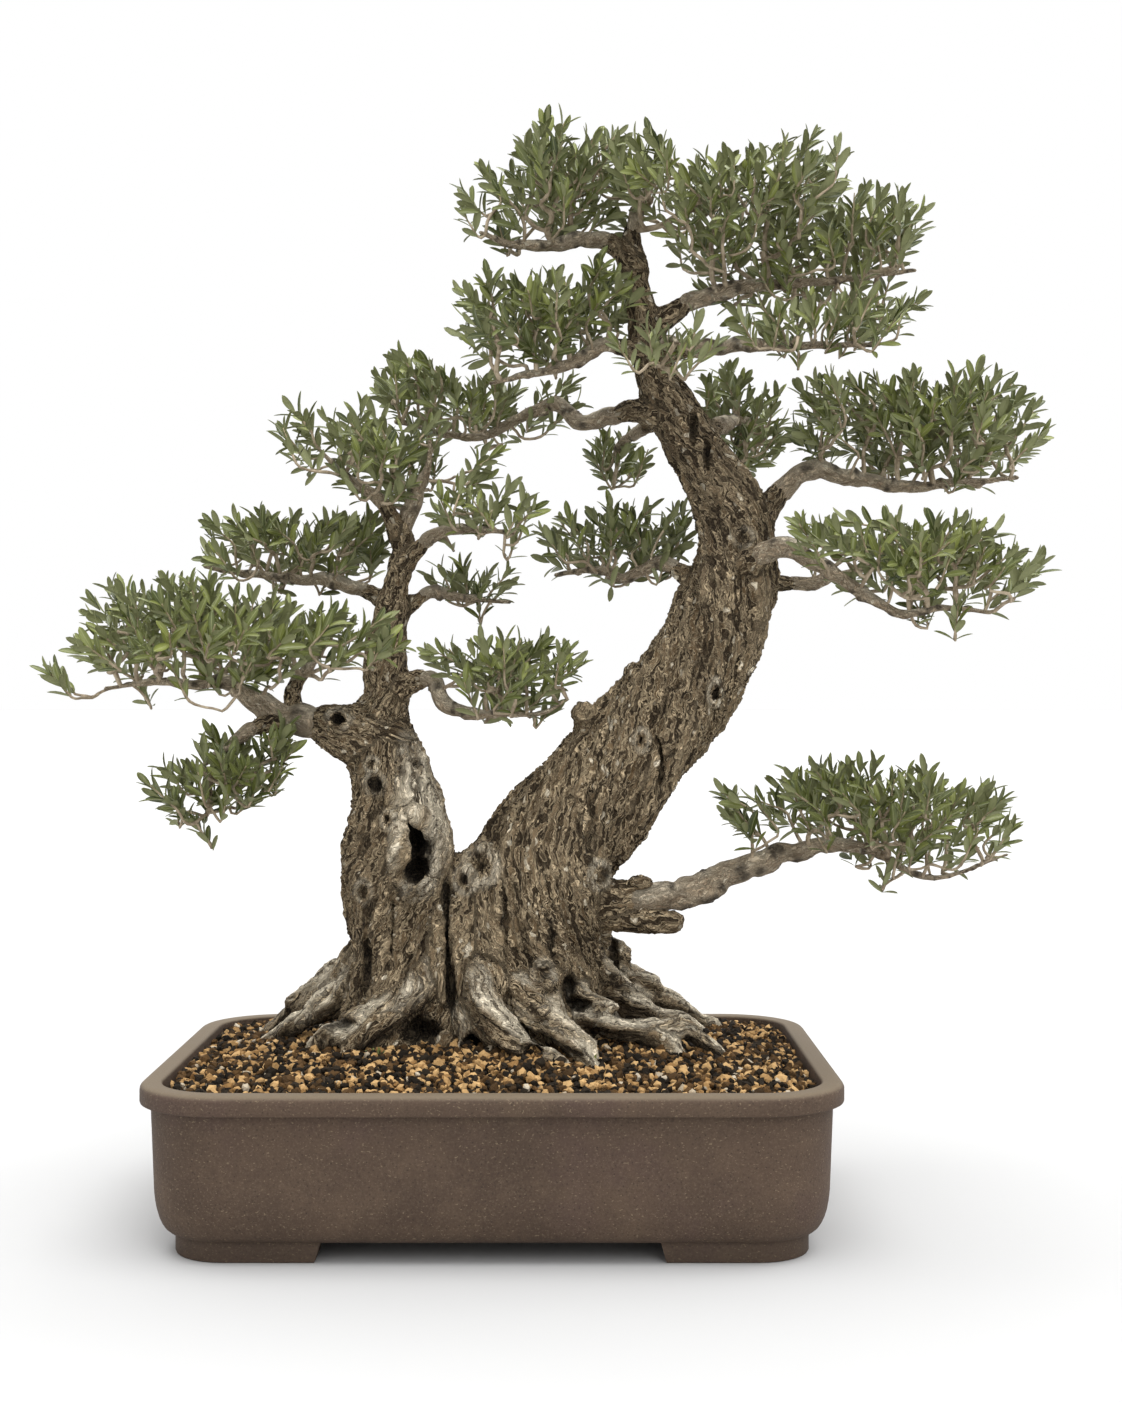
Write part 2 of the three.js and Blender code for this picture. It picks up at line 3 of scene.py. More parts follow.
import bpy
import numpy as np
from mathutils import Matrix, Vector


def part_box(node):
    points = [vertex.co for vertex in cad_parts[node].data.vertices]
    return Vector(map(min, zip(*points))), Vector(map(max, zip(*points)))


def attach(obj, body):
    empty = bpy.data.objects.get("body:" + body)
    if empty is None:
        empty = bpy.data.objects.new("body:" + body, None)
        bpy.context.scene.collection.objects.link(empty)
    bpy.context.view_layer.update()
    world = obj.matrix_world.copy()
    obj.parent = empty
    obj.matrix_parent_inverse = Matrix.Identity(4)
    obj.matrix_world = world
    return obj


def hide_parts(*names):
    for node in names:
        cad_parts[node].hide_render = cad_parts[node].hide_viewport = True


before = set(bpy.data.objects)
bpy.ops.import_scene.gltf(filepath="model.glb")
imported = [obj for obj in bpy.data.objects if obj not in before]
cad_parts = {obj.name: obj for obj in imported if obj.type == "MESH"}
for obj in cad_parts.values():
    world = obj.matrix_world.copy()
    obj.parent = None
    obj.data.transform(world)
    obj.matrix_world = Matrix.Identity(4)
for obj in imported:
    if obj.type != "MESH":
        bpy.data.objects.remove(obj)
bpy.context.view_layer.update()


# ---------------------------------------------------------------- pot
# One piece of unglazed brown stoneware: pressed into a mould, lip and feet trimmed by hand, then
# fired without a glaze. The body tapers a little, rounds in at the base and stands on four feet.

pot_low, pot_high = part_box("pot")
POT_MIDDLE = np.array([(pot_low.x + pot_high.x) / 2, (pot_low.y + pot_high.y) / 2])
RIM_Z = pot_high.z * 1000
HALF_LENGTH = (pot_high.x - pot_low.x) * 500
HALF_DEPTH = (pot_high.y - pot_low.y) * 500
RIM_CORNER = 54.0
LIP_WIDTH, LIP_HEIGHT, LIP_OVERHANG, LIP_ROUND = 13.5, 12.0, 6.5, 4.0
POT_WALL, BODY_TAPER, FLOOR_THICKNESS, FLOOR_FILLET = 8.5, 1.8, 10.0, 12.0
BASE_RISE, BASE_INSET = 29.0, 10.6
FOOT_HEIGHT, FOOT_LENGTH, FOOT_SIDE_LENGTH = 12.5, 90.0, 66.0
FOOT_WIDTH, FOOT_INSET, FOOT_SLANT = 24.0, 21.0, 3.5


def to_world(points):
    """Millimetres from the pot's centre, with z from the ground, as metres in the row's frame."""
    out = np.array(points, float).reshape(-1, 3) / 1000
    out[:, :2] += POT_MIDDLE
    return out


def new_piece(name, points, faces, smooth=True, crease=None):
    """A mesh object in the row's frame, from millimetre points and faces with one corner count."""
    mesh = bpy.data.meshes.new(name)
    coordinates = to_world(points).astype(np.float32)
    groups = [np.asarray(f, np.int32) for f in faces] if isinstance(faces, list) else [faces]
    groups = [g.reshape(-1, g.shape[-1]) for g in groups if len(g)]
    mesh.vertices.add(len(coordinates))
    mesh.vertices.foreach_set("co", coordinates.ravel())
    mesh.loops.add(sum(g.size for g in groups))
    mesh.loops.foreach_set("vertex_index", np.concatenate([g.ravel() for g in groups]).astype(np.int32))
    sizes = np.concatenate([np.full(len(g), g.shape[1]) for g in groups]).astype(np.int32)
    mesh.polygons.add(len(sizes))
    mesh.polygons.foreach_set("loop_start", (np.cumsum(sizes) - sizes).astype(np.int32))
    mesh.update(calc_edges=True)
    mesh.polygons.foreach_set("use_smooth", np.full(len(sizes), smooth))
    if crease is not None:
        mesh.set_sharp_from_angle(angle=math.radians(crease))
    piece = bpy.data.objects.new(name, mesh)
    bpy.context.scene.collection.objects.link(piece)
    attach(piece, "root")
    return piece


def set_attribute(piece, name, values, domain="POINT"):
    """Stores one number, or one vector, for each point or face."""
    values = np.asarray(values, np.float32)
    kind, field = ("FLOAT_VECTOR", "vector") if values.ndim == 2 else ("FLOAT", "value")
    attribute = piece.data.attributes.new(name, kind, domain)
    attribute.data.foreach_set(field, values.ravel())


class Socket:
    """A shader output that takes part in sums like a number."""

    def __init__(self, tree, out):
        self.tree, self.out = tree, out

    def node(self, kind, inputs=(), output=0, **settings):
        return add_node(self.tree, kind, inputs, output, **settings)

    def math(self, operation, *others):
        inputs = dict(enumerate((self,) + others))
        return self.node("Math", inputs, operation=operation)

    def __add__(self, other):
        return self.math("ADD", other)

    def __sub__(self, other):
        return self.math("SUBTRACT", other)

    def __rsub__(self, other):
        return (self * -1) + other

    def __mul__(self, other):
        return self.math("MULTIPLY", other)

    __radd__ = __add__
    __rmul__ = __mul__

    def between(self, low, high):
        """0 below low, 1 above high, and a smooth step between."""
        inputs = {"Value": self, "From Min": low, "From Max": high}
        return self.node("MapRange", inputs, interpolation_type="SMOOTHSTEP")


def add_node(tree, kind, inputs=(), output=0, **settings):
    """Adds one shader node, sets it, links it, and returns the output that was asked for."""
    made = tree.nodes.new("ShaderNode" + kind)
    for key, value in settings.items():
        setattr(made, key, value)
    for key, value in dict(inputs).items():
        if isinstance(value, Socket):
            tree.links.new(value.out, made.inputs[key])
        elif isinstance(value, tuple) and len(value) == 3 and len(made.inputs[key].default_value) == 4:
            made.inputs[key].default_value = (*value, 1)
        else:
            made.inputs[key].default_value = value
    return Socket(tree, made.outputs[output]) if made.outputs else None


class Surface:
    """A node material in the making: texture helpers, and the finished Principled shader."""

    def __init__(self, name):
        self.material = bpy.data.materials.new(name)
        self.material.use_nodes = True
        self.tree = self.material.node_tree
        self.tree.nodes.clear()
        self.place = self.node("TexCoord", output="Object")

    def node(self, kind, inputs=(), output=0, **settings):
        return add_node(self.tree, kind, inputs, output, **settings)

    def attribute(self, name, vector=False):
        return self.node("Attribute", output=1 if vector else 2, attribute_name=name)

    def stretch(self, vector, x, y, z):
        return self.node("VectorMath", {0: vector, 1: (x, y, z)}, operation="MULTIPLY")

    def noise(self, scale, detail=3, roughness=0.55, vector=None, distortion=0.0):
        inputs = {"Vector": vector or self.place, "Scale": scale, "Detail": detail}
        inputs.update({"Roughness": roughness, "Distortion": distortion})
        return self.node("TexNoise", inputs)

    def cells(self, scale, vector=None, output=0):
        return self.node("TexVoronoi", {"Vector": vector or self.place, "Scale": scale}, output=output)

    def mix(self, factor, a, b):
        return self.node("Mix", {0: factor, 6: a, 7: b}, output=2, data_type="RGBA")

    def bump(self, height, distance, strength=1.0):
        return self.node("Bump", {"Height": height, "Distance": distance, "Strength": strength})

    def finish(self, piece, color, roughness, normal=None, **fixed):
        inputs = {"Base Color": color, "Roughness": roughness}
        if normal:
            inputs["Normal"] = normal
        inputs.update({key.replace("_", " "): value for key, value in fixed.items()})
        shader = self.node("BsdfPrincipled", inputs)
        self.node("OutputMaterial", {"Surface": shader})
        for one in piece if isinstance(piece, list) else [piece]:
            one.data.materials.clear()
            one.data.materials.append(self.material)
        return self.material


def rounded_outline(inset, z, corner_steps=14, minimum=6.0):
    """A rounded rectangle, inset from the rim, counter-clockwise seen from above."""
    half = np.array([HALF_LENGTH - inset, HALF_DEPTH - inset])
    corner = max(RIM_CORNER - inset, minimum)
    points = []
    for quarter, sign in enumerate([(1, 1), (-1, 1), (-1, -1), (1, -1)]):
        for step in range(corner_steps + 1):
            angle = (quarter + step / corner_steps) * math.pi / 2
            away = corner * np.array([math.cos(angle), math.sin(angle)])
            points.append([*(np.array(sign) * (half - corner) + away), z])
    return np.array(points)


def sweep_faces(ring_count, sides, start=0):
    """Quads of a tube, and the fans that close its ends with one point each."""
    i = np.arange(sides)
    j = (i + 1) % sides
    base = (np.arange(ring_count - 1) * sides)[:, None] + start
    quads = np.stack([base + i, base + j, base + sides + j, base + sides + i], -1).reshape(-1, 4)
    first = start + ring_count * sides
    top = start + (ring_count - 1) * sides
    fans = np.concatenate([
        np.stack([np.full(sides, first), start + j, start + i], -1),
        np.stack([np.full(sides, first + 1), top + i, top + j], -1),
    ])
    return quads, fans


def loft(rings):
    """Points and faces of a skin through rings of equal length, closed by a fan at each end."""
    points = np.concatenate([*rings, [rings[0].mean(0)], [rings[-1].mean(0)]])
    quads, fans = sweep_faces(len(rings), len(rings[0]))
    return points, [quads, fans]


def pot_profile():
    """[inset, height] from the underside, up the outside, over the lip and down to the floor."""
    under = LIP_OVERHANG + BODY_TAPER
    rows = [[under + BASE_INSET + 3, FOOT_HEIGHT], [under + BASE_INSET + 0.4, FOOT_HEIGHT]]
    for turn in np.linspace(0, 1, 9):
        angle = turn * math.pi / 2
        rise = BASE_RISE * (1 - math.cos(angle))
        rows.append([under + BASE_INSET * (1 - math.sin(angle)), FOOT_HEIGHT + 0.5 + rise])
    lip_under = RIM_Z - LIP_HEIGHT
    rows += [[LIP_OVERHANG, lip_under - 0.8], [LIP_OVERHANG - 0.8, lip_under], [1.2, lip_under]]
    rows += [[0.35, lip_under + 0.4], [0, lip_under + 1.2]]
    for turn in np.linspace(0, 1, 6):
        angle = turn * math.pi / 2
        rows.append([LIP_ROUND * (1 - math.cos(angle)), RIM_Z - LIP_ROUND * (1 - math.sin(angle))])
    inner = 2.0
    for turn in np.linspace(0, 1, 5):
        angle = turn * math.pi / 2
        rows.append([LIP_WIDTH - inner * (1 - math.sin(angle)), RIM_Z - inner * (1 - math.cos(angle))])
    floor_z = FOOT_HEIGHT + FLOOR_THICKNESS
    wall = LIP_OVERHANG + POT_WALL
    rows += [[wall, RIM_Z - LIP_HEIGHT - LIP_ROUND], [wall + BODY_TAPER, floor_z + FLOOR_FILLET]]
    rows += [[wall + BODY_TAPER + FLOOR_FILLET * 0.3, floor_z + FLOOR_FILLET * 0.3]]
    rows += [[wall + BODY_TAPER + FLOOR_FILLET, floor_z]]
    return rows


def foot_ring(z, inset, sign_x, sign_y, slant):
    """One L-shaped foot's outline at a height: round the outside corner, back along the inside."""
    gap_x = HALF_LENGTH - FOOT_INSET - FOOT_LENGTH + slant
    gap_y = HALF_DEPTH - FOOT_INSET - FOOT_SIDE_LENGTH + slant
    points = []
    for side, reverse in ((inset, False), (FOOT_INSET + FOOT_WIDTH - (inset - FOOT_INSET), True)):
        half_x, half_y = HALF_LENGTH - side, HALF_DEPTH - side
        corner = max(RIM_CORNER - side, 8.0)
        row = [[gap_x, half_y]]
        for angle in np.linspace(math.pi / 2, 0, 9):
            x = half_x - corner + corner * math.cos(angle)
            row.append([x, half_y - corner + corner * math.sin(angle)])
        row.append([half_x, gap_y])
        points += row[::-1] if reverse else row
    ring = np.array([[x * sign_x, y * sign_y, z] for x, y in points])
    return ring if sign_x * sign_y < 0 else ring[::-1]


pot_points, pot_faces = loft([rounded_outline(inset, z) for inset, z in pot_profile()])
pot = new_piece("pot_body", pot_points, pot_faces, crease=38)
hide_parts("pot")
feet = []
for sign_x in (-1, 1):
    for sign_y in (-1, 1):
        rings = []
        for z, inset, slant in [(0, 1.2, 1.2), (0.35, 0.35, 0.35), (1.2, 0, 0), (FOOT_HEIGHT, 0, 0)]:
            end = slant + FOOT_SLANT * (1 - z / FOOT_HEIGHT)
            rings.append(foot_ring(z, FOOT_INSET + inset, sign_x, sign_y, end))
        feet.append(loft(rings))
foot_points = np.concatenate([points for points, _ in feet])
foot_faces = [
    np.concatenate([faces[kind] + index * len(feet[0][0]) for index, (_, faces) in enumerate(feet)])
    for kind in (0, 1)
]
pot_feet = new_piece("pot_feet", foot_points, foot_faces, crease=38)

# The clay burned a warm grey brown, with fine dark and pale specks, a faint cloudiness and the drag
# marks of a wet sponge. Faces that look up, such as the lip's top, are painted paler as painted
# light from above, and the foot of the pot is painted darker as painted shade near the ground.
clay = Surface("unglazed_stoneware")
cloud = clay.noise(9, 4, 0.6)
blotch = clay.noise(38, 5, 0.65)
speck = clay.cells(330)
pale_speck = clay.noise(950, 2, 0.5, vector=clay.stretch(clay.place, 0.6, 0.6, 1))
firing = clay.noise(15, 3, 0.6)
drag = clay.noise(1, 4, 0.6, vector=clay.stretch(clay.place, 14, 14, 240))
grit = clay.noise(700, 4, 0.75)
clay_color = clay.mix(cloud.between(0.3, 0.72), (0.059, 0.0365, 0.0235), (0.084, 0.0535, 0.0355))
clay_color = clay.mix(blotch.between(0.42, 0.75) * 0.6, clay_color, (0.112, 0.074, 0.047))
clay_color = clay.mix(firing.between(0.50, 0.68) * 0.6, clay_color, (0.072, 0.043, 0.034))
clay_color = clay.mix(grit.between(0.50, 0.70) * 0.55, clay_color, (0.135, 0.098, 0.066))
clay_color = clay.mix(grit.between(0.48, 0.32) * 0.45, clay_color, (0.034, 0.022, 0.015))
clay_color = clay.mix(speck.between(0.24, 0.08) * 0.6, clay_color, (0.026, 0.018, 0.012))
clay_color = clay.mix(pale_speck.between(0.63, 0.72) * 0.5, clay_color, (0.26, 0.20, 0.125))
height = clay.node("SeparateXYZ", {0: clay.place}, output=2)
facing = clay.node("SeparateXYZ", {0: clay.node("NewGeometry", output=1)}, output=2)
# Painted light: every face that looks up, such as the lip's top, is painted paler, as if lit from above.
clay_color = clay.mix(facing.between(0.25, 0.95) * 0.75, clay_color, (0.185, 0.146, 0.098))
# Painted shade: the feet and the lower curve, up to 20 mm from the ground, are painted darker.
clay_color = clay.mix(height.between(0.020, 0.004) * 0.35, clay_color, (0.045, 0.032, 0.023))
grain = clay.noise(900, 3, 0.7)
clay_bump = clay.bump(grain * 0.5 + blotch * 0.8 + drag * 0.7, 0.0009, 0.55)
clay.finish([pot, pot_feet], clay_color, 0.62 + cloud * 0.22, clay_bump, Specular_IOR_Level=0.32)


# ---------------------------------------------------------------- drainage mesh and its wires
# A square of black plastic mesh lies over each drain hole and keeps the soil in. A bent
# aluminium wire comes up through it and holds it flat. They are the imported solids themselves.

mesh_plastic = Surface("black_plastic_mesh")
weave = mesh_plastic.noise(600, 3, 0.6)
plastic_color = mesh_plastic.mix(weave, (0.012, 0.013, 0.015), (0.045, 0.046, 0.05))
plastic_bump = mesh_plastic.bump(weave, 0.0003, 0.4)
wire_metal = Surface("aluminium_wire")
drawn = wire_metal.noise(1, 4, 0.6, vector=wire_metal.stretch(wire_metal.place, 60, 2500, 2500))
wire_color = wire_metal.mix(drawn, (0.42, 0.42, 0.43), (0.72, 0.73, 0.74))
screens = [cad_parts["drainage_mesh_" + side] for side in ("left", "right")]
wires = [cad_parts["mesh_clip_" + side] for side in ("left", "right")]
mesh_plastic.finish(screens, plastic_color, 0.45 + weave * 0.3, plastic_bump)
wire_metal.finish(wires, wire_color, 0.25 + drawn * 0.25, wire_metal.bump(drawn, 0.0001, 0.3), Metallic=1.0)


# ---------------------------------------------------------------- wood: shared limb tables
# The tree is one living thing: two trunks fused at the foot, surface roots that spread over the
# soil, and branches that leave the trunks. Rows are x, y, z above the soil, and radius.

SOIL_Z = RIM_Z - 5.0
RIGHT_TRUNK = [
    [16, 12, 10, 50], [16, 12, 36, 49], [18, 12, 72, 47], [25, 10, 107, 46], [43, 8, 146, 41],
    [89, 6, 199, 36], [129, 4, 252, 33], [150, 2, 300, 28], [154, 2, 330, 25], [149, 4, 356, 22],
    [137, 6, 382, 18], [123, 8, 406, 17], [111, 8, 427, 15.5], [102, 6, 446, 13], [97, 4, 466, 11],
    [93, 4, 492, 8.5], [88, 4, 516, 7],
]
LEFT_TRUNK = [
    [-64, 0, 12, 37], [-63, 0, 38, 33], [-64, 0, 64, 30], [-66, 0, 99, 31], [-64, -2, 135, 33],
    [-67, -4, 167, 28], [-73, -4, 192, 24], [-77, -2, 211, 21], [-73, 0, 232, 14.5], [-73, 2, 256, 13],
    [-69, 4, 282, 10.5], [-66, 6, 306, 8.5], [-62, 8, 328, 7.5], [-64, 8, 342, 6.5],
]
STUB = [[60, 4, 94, 11], [92, -3, 90, 8.6], [113, -5, 89, 7.4]]
CROTCH = [[-30, 2, 60, 30], [-24, 0, 96, 25], [-18, -2, 118, 15]]
ROOTS = [
    [
        [-78, 16, 64, 19], [-102, 28, 47, 13], [-118, 38, 36, 10], [-136, 50, 26, 8],
        [-152, 62, 12, 5], [-171, 74, -2, 3],
    ],
    [[-78, 6, 52, 17], [-97, 14, 39, 12], [-125, 22, 24, 8], [-140, 30, 15, 6], [-158, 38, 1, 3.5]],
    [
        [-50, -10, 62, 17], [-54, -22, 47, 12], [-68, -28, 36, 10], [-91, -28, 24, 9],
        [-110, -24, 14, 7], [-124, -20, 1, 4.5],
    ],
    [[-52, -20, 46, 12], [-74, -38, 25, 6.5], [-90, -38, 12, 5], [-104, -38, 0, 3]],
    [[-14, -8, 56, 12], [-20, -22, 33, 4.5], [-22, -26, 16, 4], [-22, -28, 3, 3.5]],
    [
        [-2, -16, 60, 17], [-4, -38, 40, 11], [2, -46, 30, 9], [13, -56, 18, 7], [38, -64, 10, 4.5],
        [50, -70, 1, 3],
    ],
    [[14, -14, 62, 18], [24, -36, 41, 12.5], [43, -50, 25, 9.5], [55, -62, 16, 7.5], [67, -72, 4, 4.5]],
    [
        [34, -4, 62, 18], [51, -16, 39, 12], [73, -20, 28, 9.5], [98, -22, 21, 7.5], [119, -22, 22, 7],
        [134, -22, 12, 5], [148, -22, 0, 3],
    ],
    [[94, -22, 21, 7], [110, -32, 15, 5], [123, -38, 3, 3]],
    [[54, 18, 62, 17], [75, 36, 39, 10.5], [101, 46, 21, 7.5], [125, 54, 13, 5.5], [143, 60, 3, 3]],
    [[54, 30, 76, 19], [82, 52, 47, 11.5], [108, 68, 29, 8], [131, 82, 14, 5.5], [159, 98, -1, 3]],
    [[-20, 40, 60, 18], [-34, 66, 34, 11], [-52, 88, 16, 7], [-70, 104, 1, 3.5]],
    [[18, 46, 60, 20], [26, 78, 32, 11], [30, 100, 14, 7], [36, 116, 0, 3.5]],
]
BRANCHES = {
    "low_right": [
        [54, 4, 100, 15], [78, 0, 102, 12], [103, -2, 103, 9], [132, -4, 112, 8.5], [161, -6, 124, 7.5],
        [202, -4, 136, 6], [241, -4, 135, 4], [278, -8, 117, 2.5], [328, -8, 132, 1.5],
    ],
    "right_mid_front": [
        [153, -10, 311, 9], [166, -30, 323, 7], [185, -44, 326, 6], [209, -56, 310, 4.5],
        [248, -64, 286, 3.5],
        [275, -70, 288, 2.5], [303, -74, 285, 2],
    ],
    "right_mid_back": [
        [168, 8, 310, 7], [188, 16, 308, 4.5], [208, 20, 310, 4], [231, 22, 316, 3], [268, 24, 321, 2],
    ],
    "right_high": [
        [164, 4, 344, 10], [178, 6, 360, 7.5], [191, 8, 375, 6.5], [206, 10, 382, 6], [226, 12, 377, 5],
        [268, 16, 372, 4.5], [304, 20, 375, 3.5], [342, 22, 378, 2],
    ],
    "mid_left": [
        [136, 4, 306, 8], [125, 12, 312, 6], [106, 24, 321, 4.5], [84, 36, 313, 4], [67, 44, 319, 3.5],
        [37, 50, 316, 2],
    ],
    "back_right": [[132, 10, 406, 8], [149, 46, 416, 5], [163, 84, 425, 4], [175, 120, 431, 2.5]],
    "back_left": [[110, 12, 416, 6], [94, 40, 412, 4], [81, 74, 406, 3], [77, 98, 399, 2]],
    "upper_left_low": [
        [104, 6, 419, 9], [87, 12, 421, 6.5], [73, 20, 418, 5.5], [54, 30, 416, 5], [35, 40, 430, 4.5],
        [10, 46, 419, 4], [-13, 50, 409, 3.5], [-40, 52, 412, 2.5], [-71, 54, 420, 2],
    ],
    "upper_left_high": [
        [101, 2, 456, 8], [79, -6, 459, 5], [67, -10, 459, 4.5], [49, -16, 447, 4], [21, -20, 439, 3],
        [-4, -24, 433, 2],
    ],
    "crown_right": [
        [102, 4, 456, 7], [129, -12, 457, 5], [167, -26, 456, 4], [204, -34, 455, 3],
        [241, -40, 455, 2],
    ],
    "crown_front": [[104, 2, 461, 7], [109, -26, 458, 4.5], [110, -52, 455, 3], [111, -78, 449, 2]],
    "top_right": [
        [99, 6, 474, 8], [121, 4, 488, 6], [134, 2, 493, 5], [157, 4, 499, 4.5], [197, 10, 504, 3.5],
        [237, 16, 509, 3], [274, 20, 514, 2],
    ],
    "apex_left": [
        [90, 4, 512, 7], [74, 0, 527, 6], [57, -4, 529, 5], [38, -8, 525, 4.5], [12, -12, 524, 3.5],
        [-11, -14, 531, 2],
    ],
    "apex": [[88, 4, 512, 6.5], [88, 6, 540, 5], [96, 8, 560, 4], [105, 8, 578, 2.5]],
    "left_big": [
        [-74, -4, 203, 19], [-98, -10, 212, 16], [-118, -12, 218, 11], [-136, -14, 221, 8.5],
        [-157, -18, 234, 6.5],
        [-172, -20, 243, 5.5], [-193, -22, 242, 4], [-220, -24, 243, 3], [-248, -26, 239, 2],
    ],
    "left_big_up": [
        [-128, -12, 219, 6], [-132, -10, 235, 5], [-124, -6, 250, 4], [-116, 0, 261, 3],
        [-108, 4, 272, 2],
    ],
    "left_lower": [
        [-135, -14, 218, 6], [-147, -24, 216, 5], [-158, -30, 211, 4.5], [-174, -34, 199, 3],
        [-186, -36, 189, 2],
    ],
    "left_right_low": [
        [-68, -2, 236, 9], [-53, -10, 244, 6], [-41, -18, 244, 5], [-33, -24, 230, 5], [-23, -28, 224, 4],
        [-1, -32, 223, 3], [28, -36, 223, 2], [45, -38, 232, 1.5],
    ],
    "left_second": [
        [-69, 6, 288, 8], [-80, 14, 300, 5], [-109, 26, 309, 4.5], [-139, 34, 313, 3.5],
        [-170, 42, 316, 3], [-198, 46, 321, 2],
    ],
    "left_small_right": [
        [-68, 6, 286, 6], [-56, 14, 295, 4.5], [-42, 22, 303, 4], [-28, 28, 300, 3.5],
        [-9, 34, 298, 2.5], [7, 38, 297, 1.5],
    ],
    "left_top_right": [
        [-64, 6, 318, 6], [-51, 0, 330, 5], [-36, -12, 339, 4], [-11, -24, 340, 3], [11, -32, 337, 2],
    ],
    "left_top_left": [
        [-64, 8, 338, 6], [-71, 6, 354, 5], [-79, 4, 363, 4.5], [-87, 2, 368, 3.5],
        [-102, 0, 380, 2.5], [-115, 0, 393, 2],
    ],
    "left_top_mid": [
        [-63, 8, 340, 5.5], [-56, 8, 357, 5], [-51, 6, 369, 4], [-45, 4, 384, 3], [-44, 2, 400, 2],
    ],
}


def smooth_path(rows, step):
    """A curve through the rows, resampled about every step: points and radii."""
    rows = np.array(rows, float)
    padded = np.concatenate([[2 * rows[0] - rows[1]], rows, [2 * rows[-1] - rows[-2]]])
    samples = []
    for p0, p1, p2, p3 in zip(padded, padded[1:], padded[2:], padded[3:]):
        t = np.linspace(0, 1, 24, endpoint=False)[:, None]
        samples.append(0.5 * (2 * p1 + (p2 - p0) * t + (2 * p0 - 5 * p1 + 4 * p2 - p3) * t**2
                              + (3 * p1 - p0 - 3 * p2 + p3) * t**3))
    samples = np.concatenate(samples + [rows[-1:]])
    length = np.concatenate([[0], np.cumsum(np.linalg.norm(np.diff(samples[:, :3], axis=0), axis=1))])
    wanted = np.linspace(0, length[-1], max(2, round(length[-1] / step) + 1))
    even = np.stack([np.interp(wanted, length, samples[:, k]) for k in range(4)], -1)
    return even[:, :3], even[:, 3], wanted


def carried_frames(points):
    """A tangent and two crosswise directions at each point, turning as little as possible."""
    tangents = np.gradient(points, axis=0)
    tangents /= np.linalg.norm(tangents, axis=1, keepdims=True)
    across = np.zeros_like(points)
    current = np.array([0.3, 1.0, 0.2])
    for index, tangent in enumerate(tangents):
        current = current - tangent * (current @ tangent)
        current /= np.linalg.norm(current)
        across[index] = current
    return tangents, across, np.cross(tangents, across)


def hash_noise(points, seed):
    """Smooth noise from about -1 to 1 at points in cells of one unit."""
    cell = np.floor(points).astype(np.int64)
    inside = (points - cell).astype(np.float32)
    fade = inside**3 * (inside * (inside * 6 - 15) + 10)
    total = np.zeros(len(points), np.float32)
    for corner in np.ndindex(2, 2, 2):
        x, y, z = (cell + corner).T
        code = (x * 73856093) ^ (y * 19349663) ^ (z * 83492791) ^ (seed * 2654435761)
        code = (code ^ (code >> 13)) * 1274126177 & 0x7FFFFFFF
        gradient = np.stack([(code >> shift) & 1023 for shift in (0, 10, 20)], -1) / 511.5 - 1
        dot = (gradient * (inside - np.array(corner))).sum(-1)
        weight = np.prod(np.where(corner, fade, 1 - fade), axis=1)
        total += (weight * dot).astype(np.float32)
    return total * 1.5


def ridges(points, seed, octaves=3):
    """Noise with sharp crests: 1 on a crest, falling towards 0."""
    total, size, norm = 0.0, 1.0, 0.0
    turn = np.array([[0.36, 0.48, -0.8], [-0.8, 0.60, 0.0], [0.48, 0.64, 0.6]])
    for octave in range(octaves):
        points = points @ turn + 0.37
        total = total + size * (1 - np.abs(hash_noise(points * 2.07**octave, seed + octave))) ** 2
        norm += size
        size *= 0.55
    return total / norm


# ---------------------------------------------------------------- trunk and roots
# Old olive wood: fluted trunks with twisting grooves, flaking bark, healed pruning knots and a
# hollow where a limb rotted out. Old, thick roots have lost bark and weathered pale on top.

VOXEL = 1.7
BAND = 17.0


def rounded_union(here, distance, softness):
    """The nearer of two distances, with a rounded crease where they meet."""
    share = np.clip(0.5 + 0.5 * (distance - here) / softness, 0, 1)
    return distance + (here - distance) * share - softness * share * (1 - share)


def scaled_distance(points, middle, half):
    """How far points are from a middle, in half sizes along each axis."""
    return np.linalg.norm((points - middle) / half, axis=1)


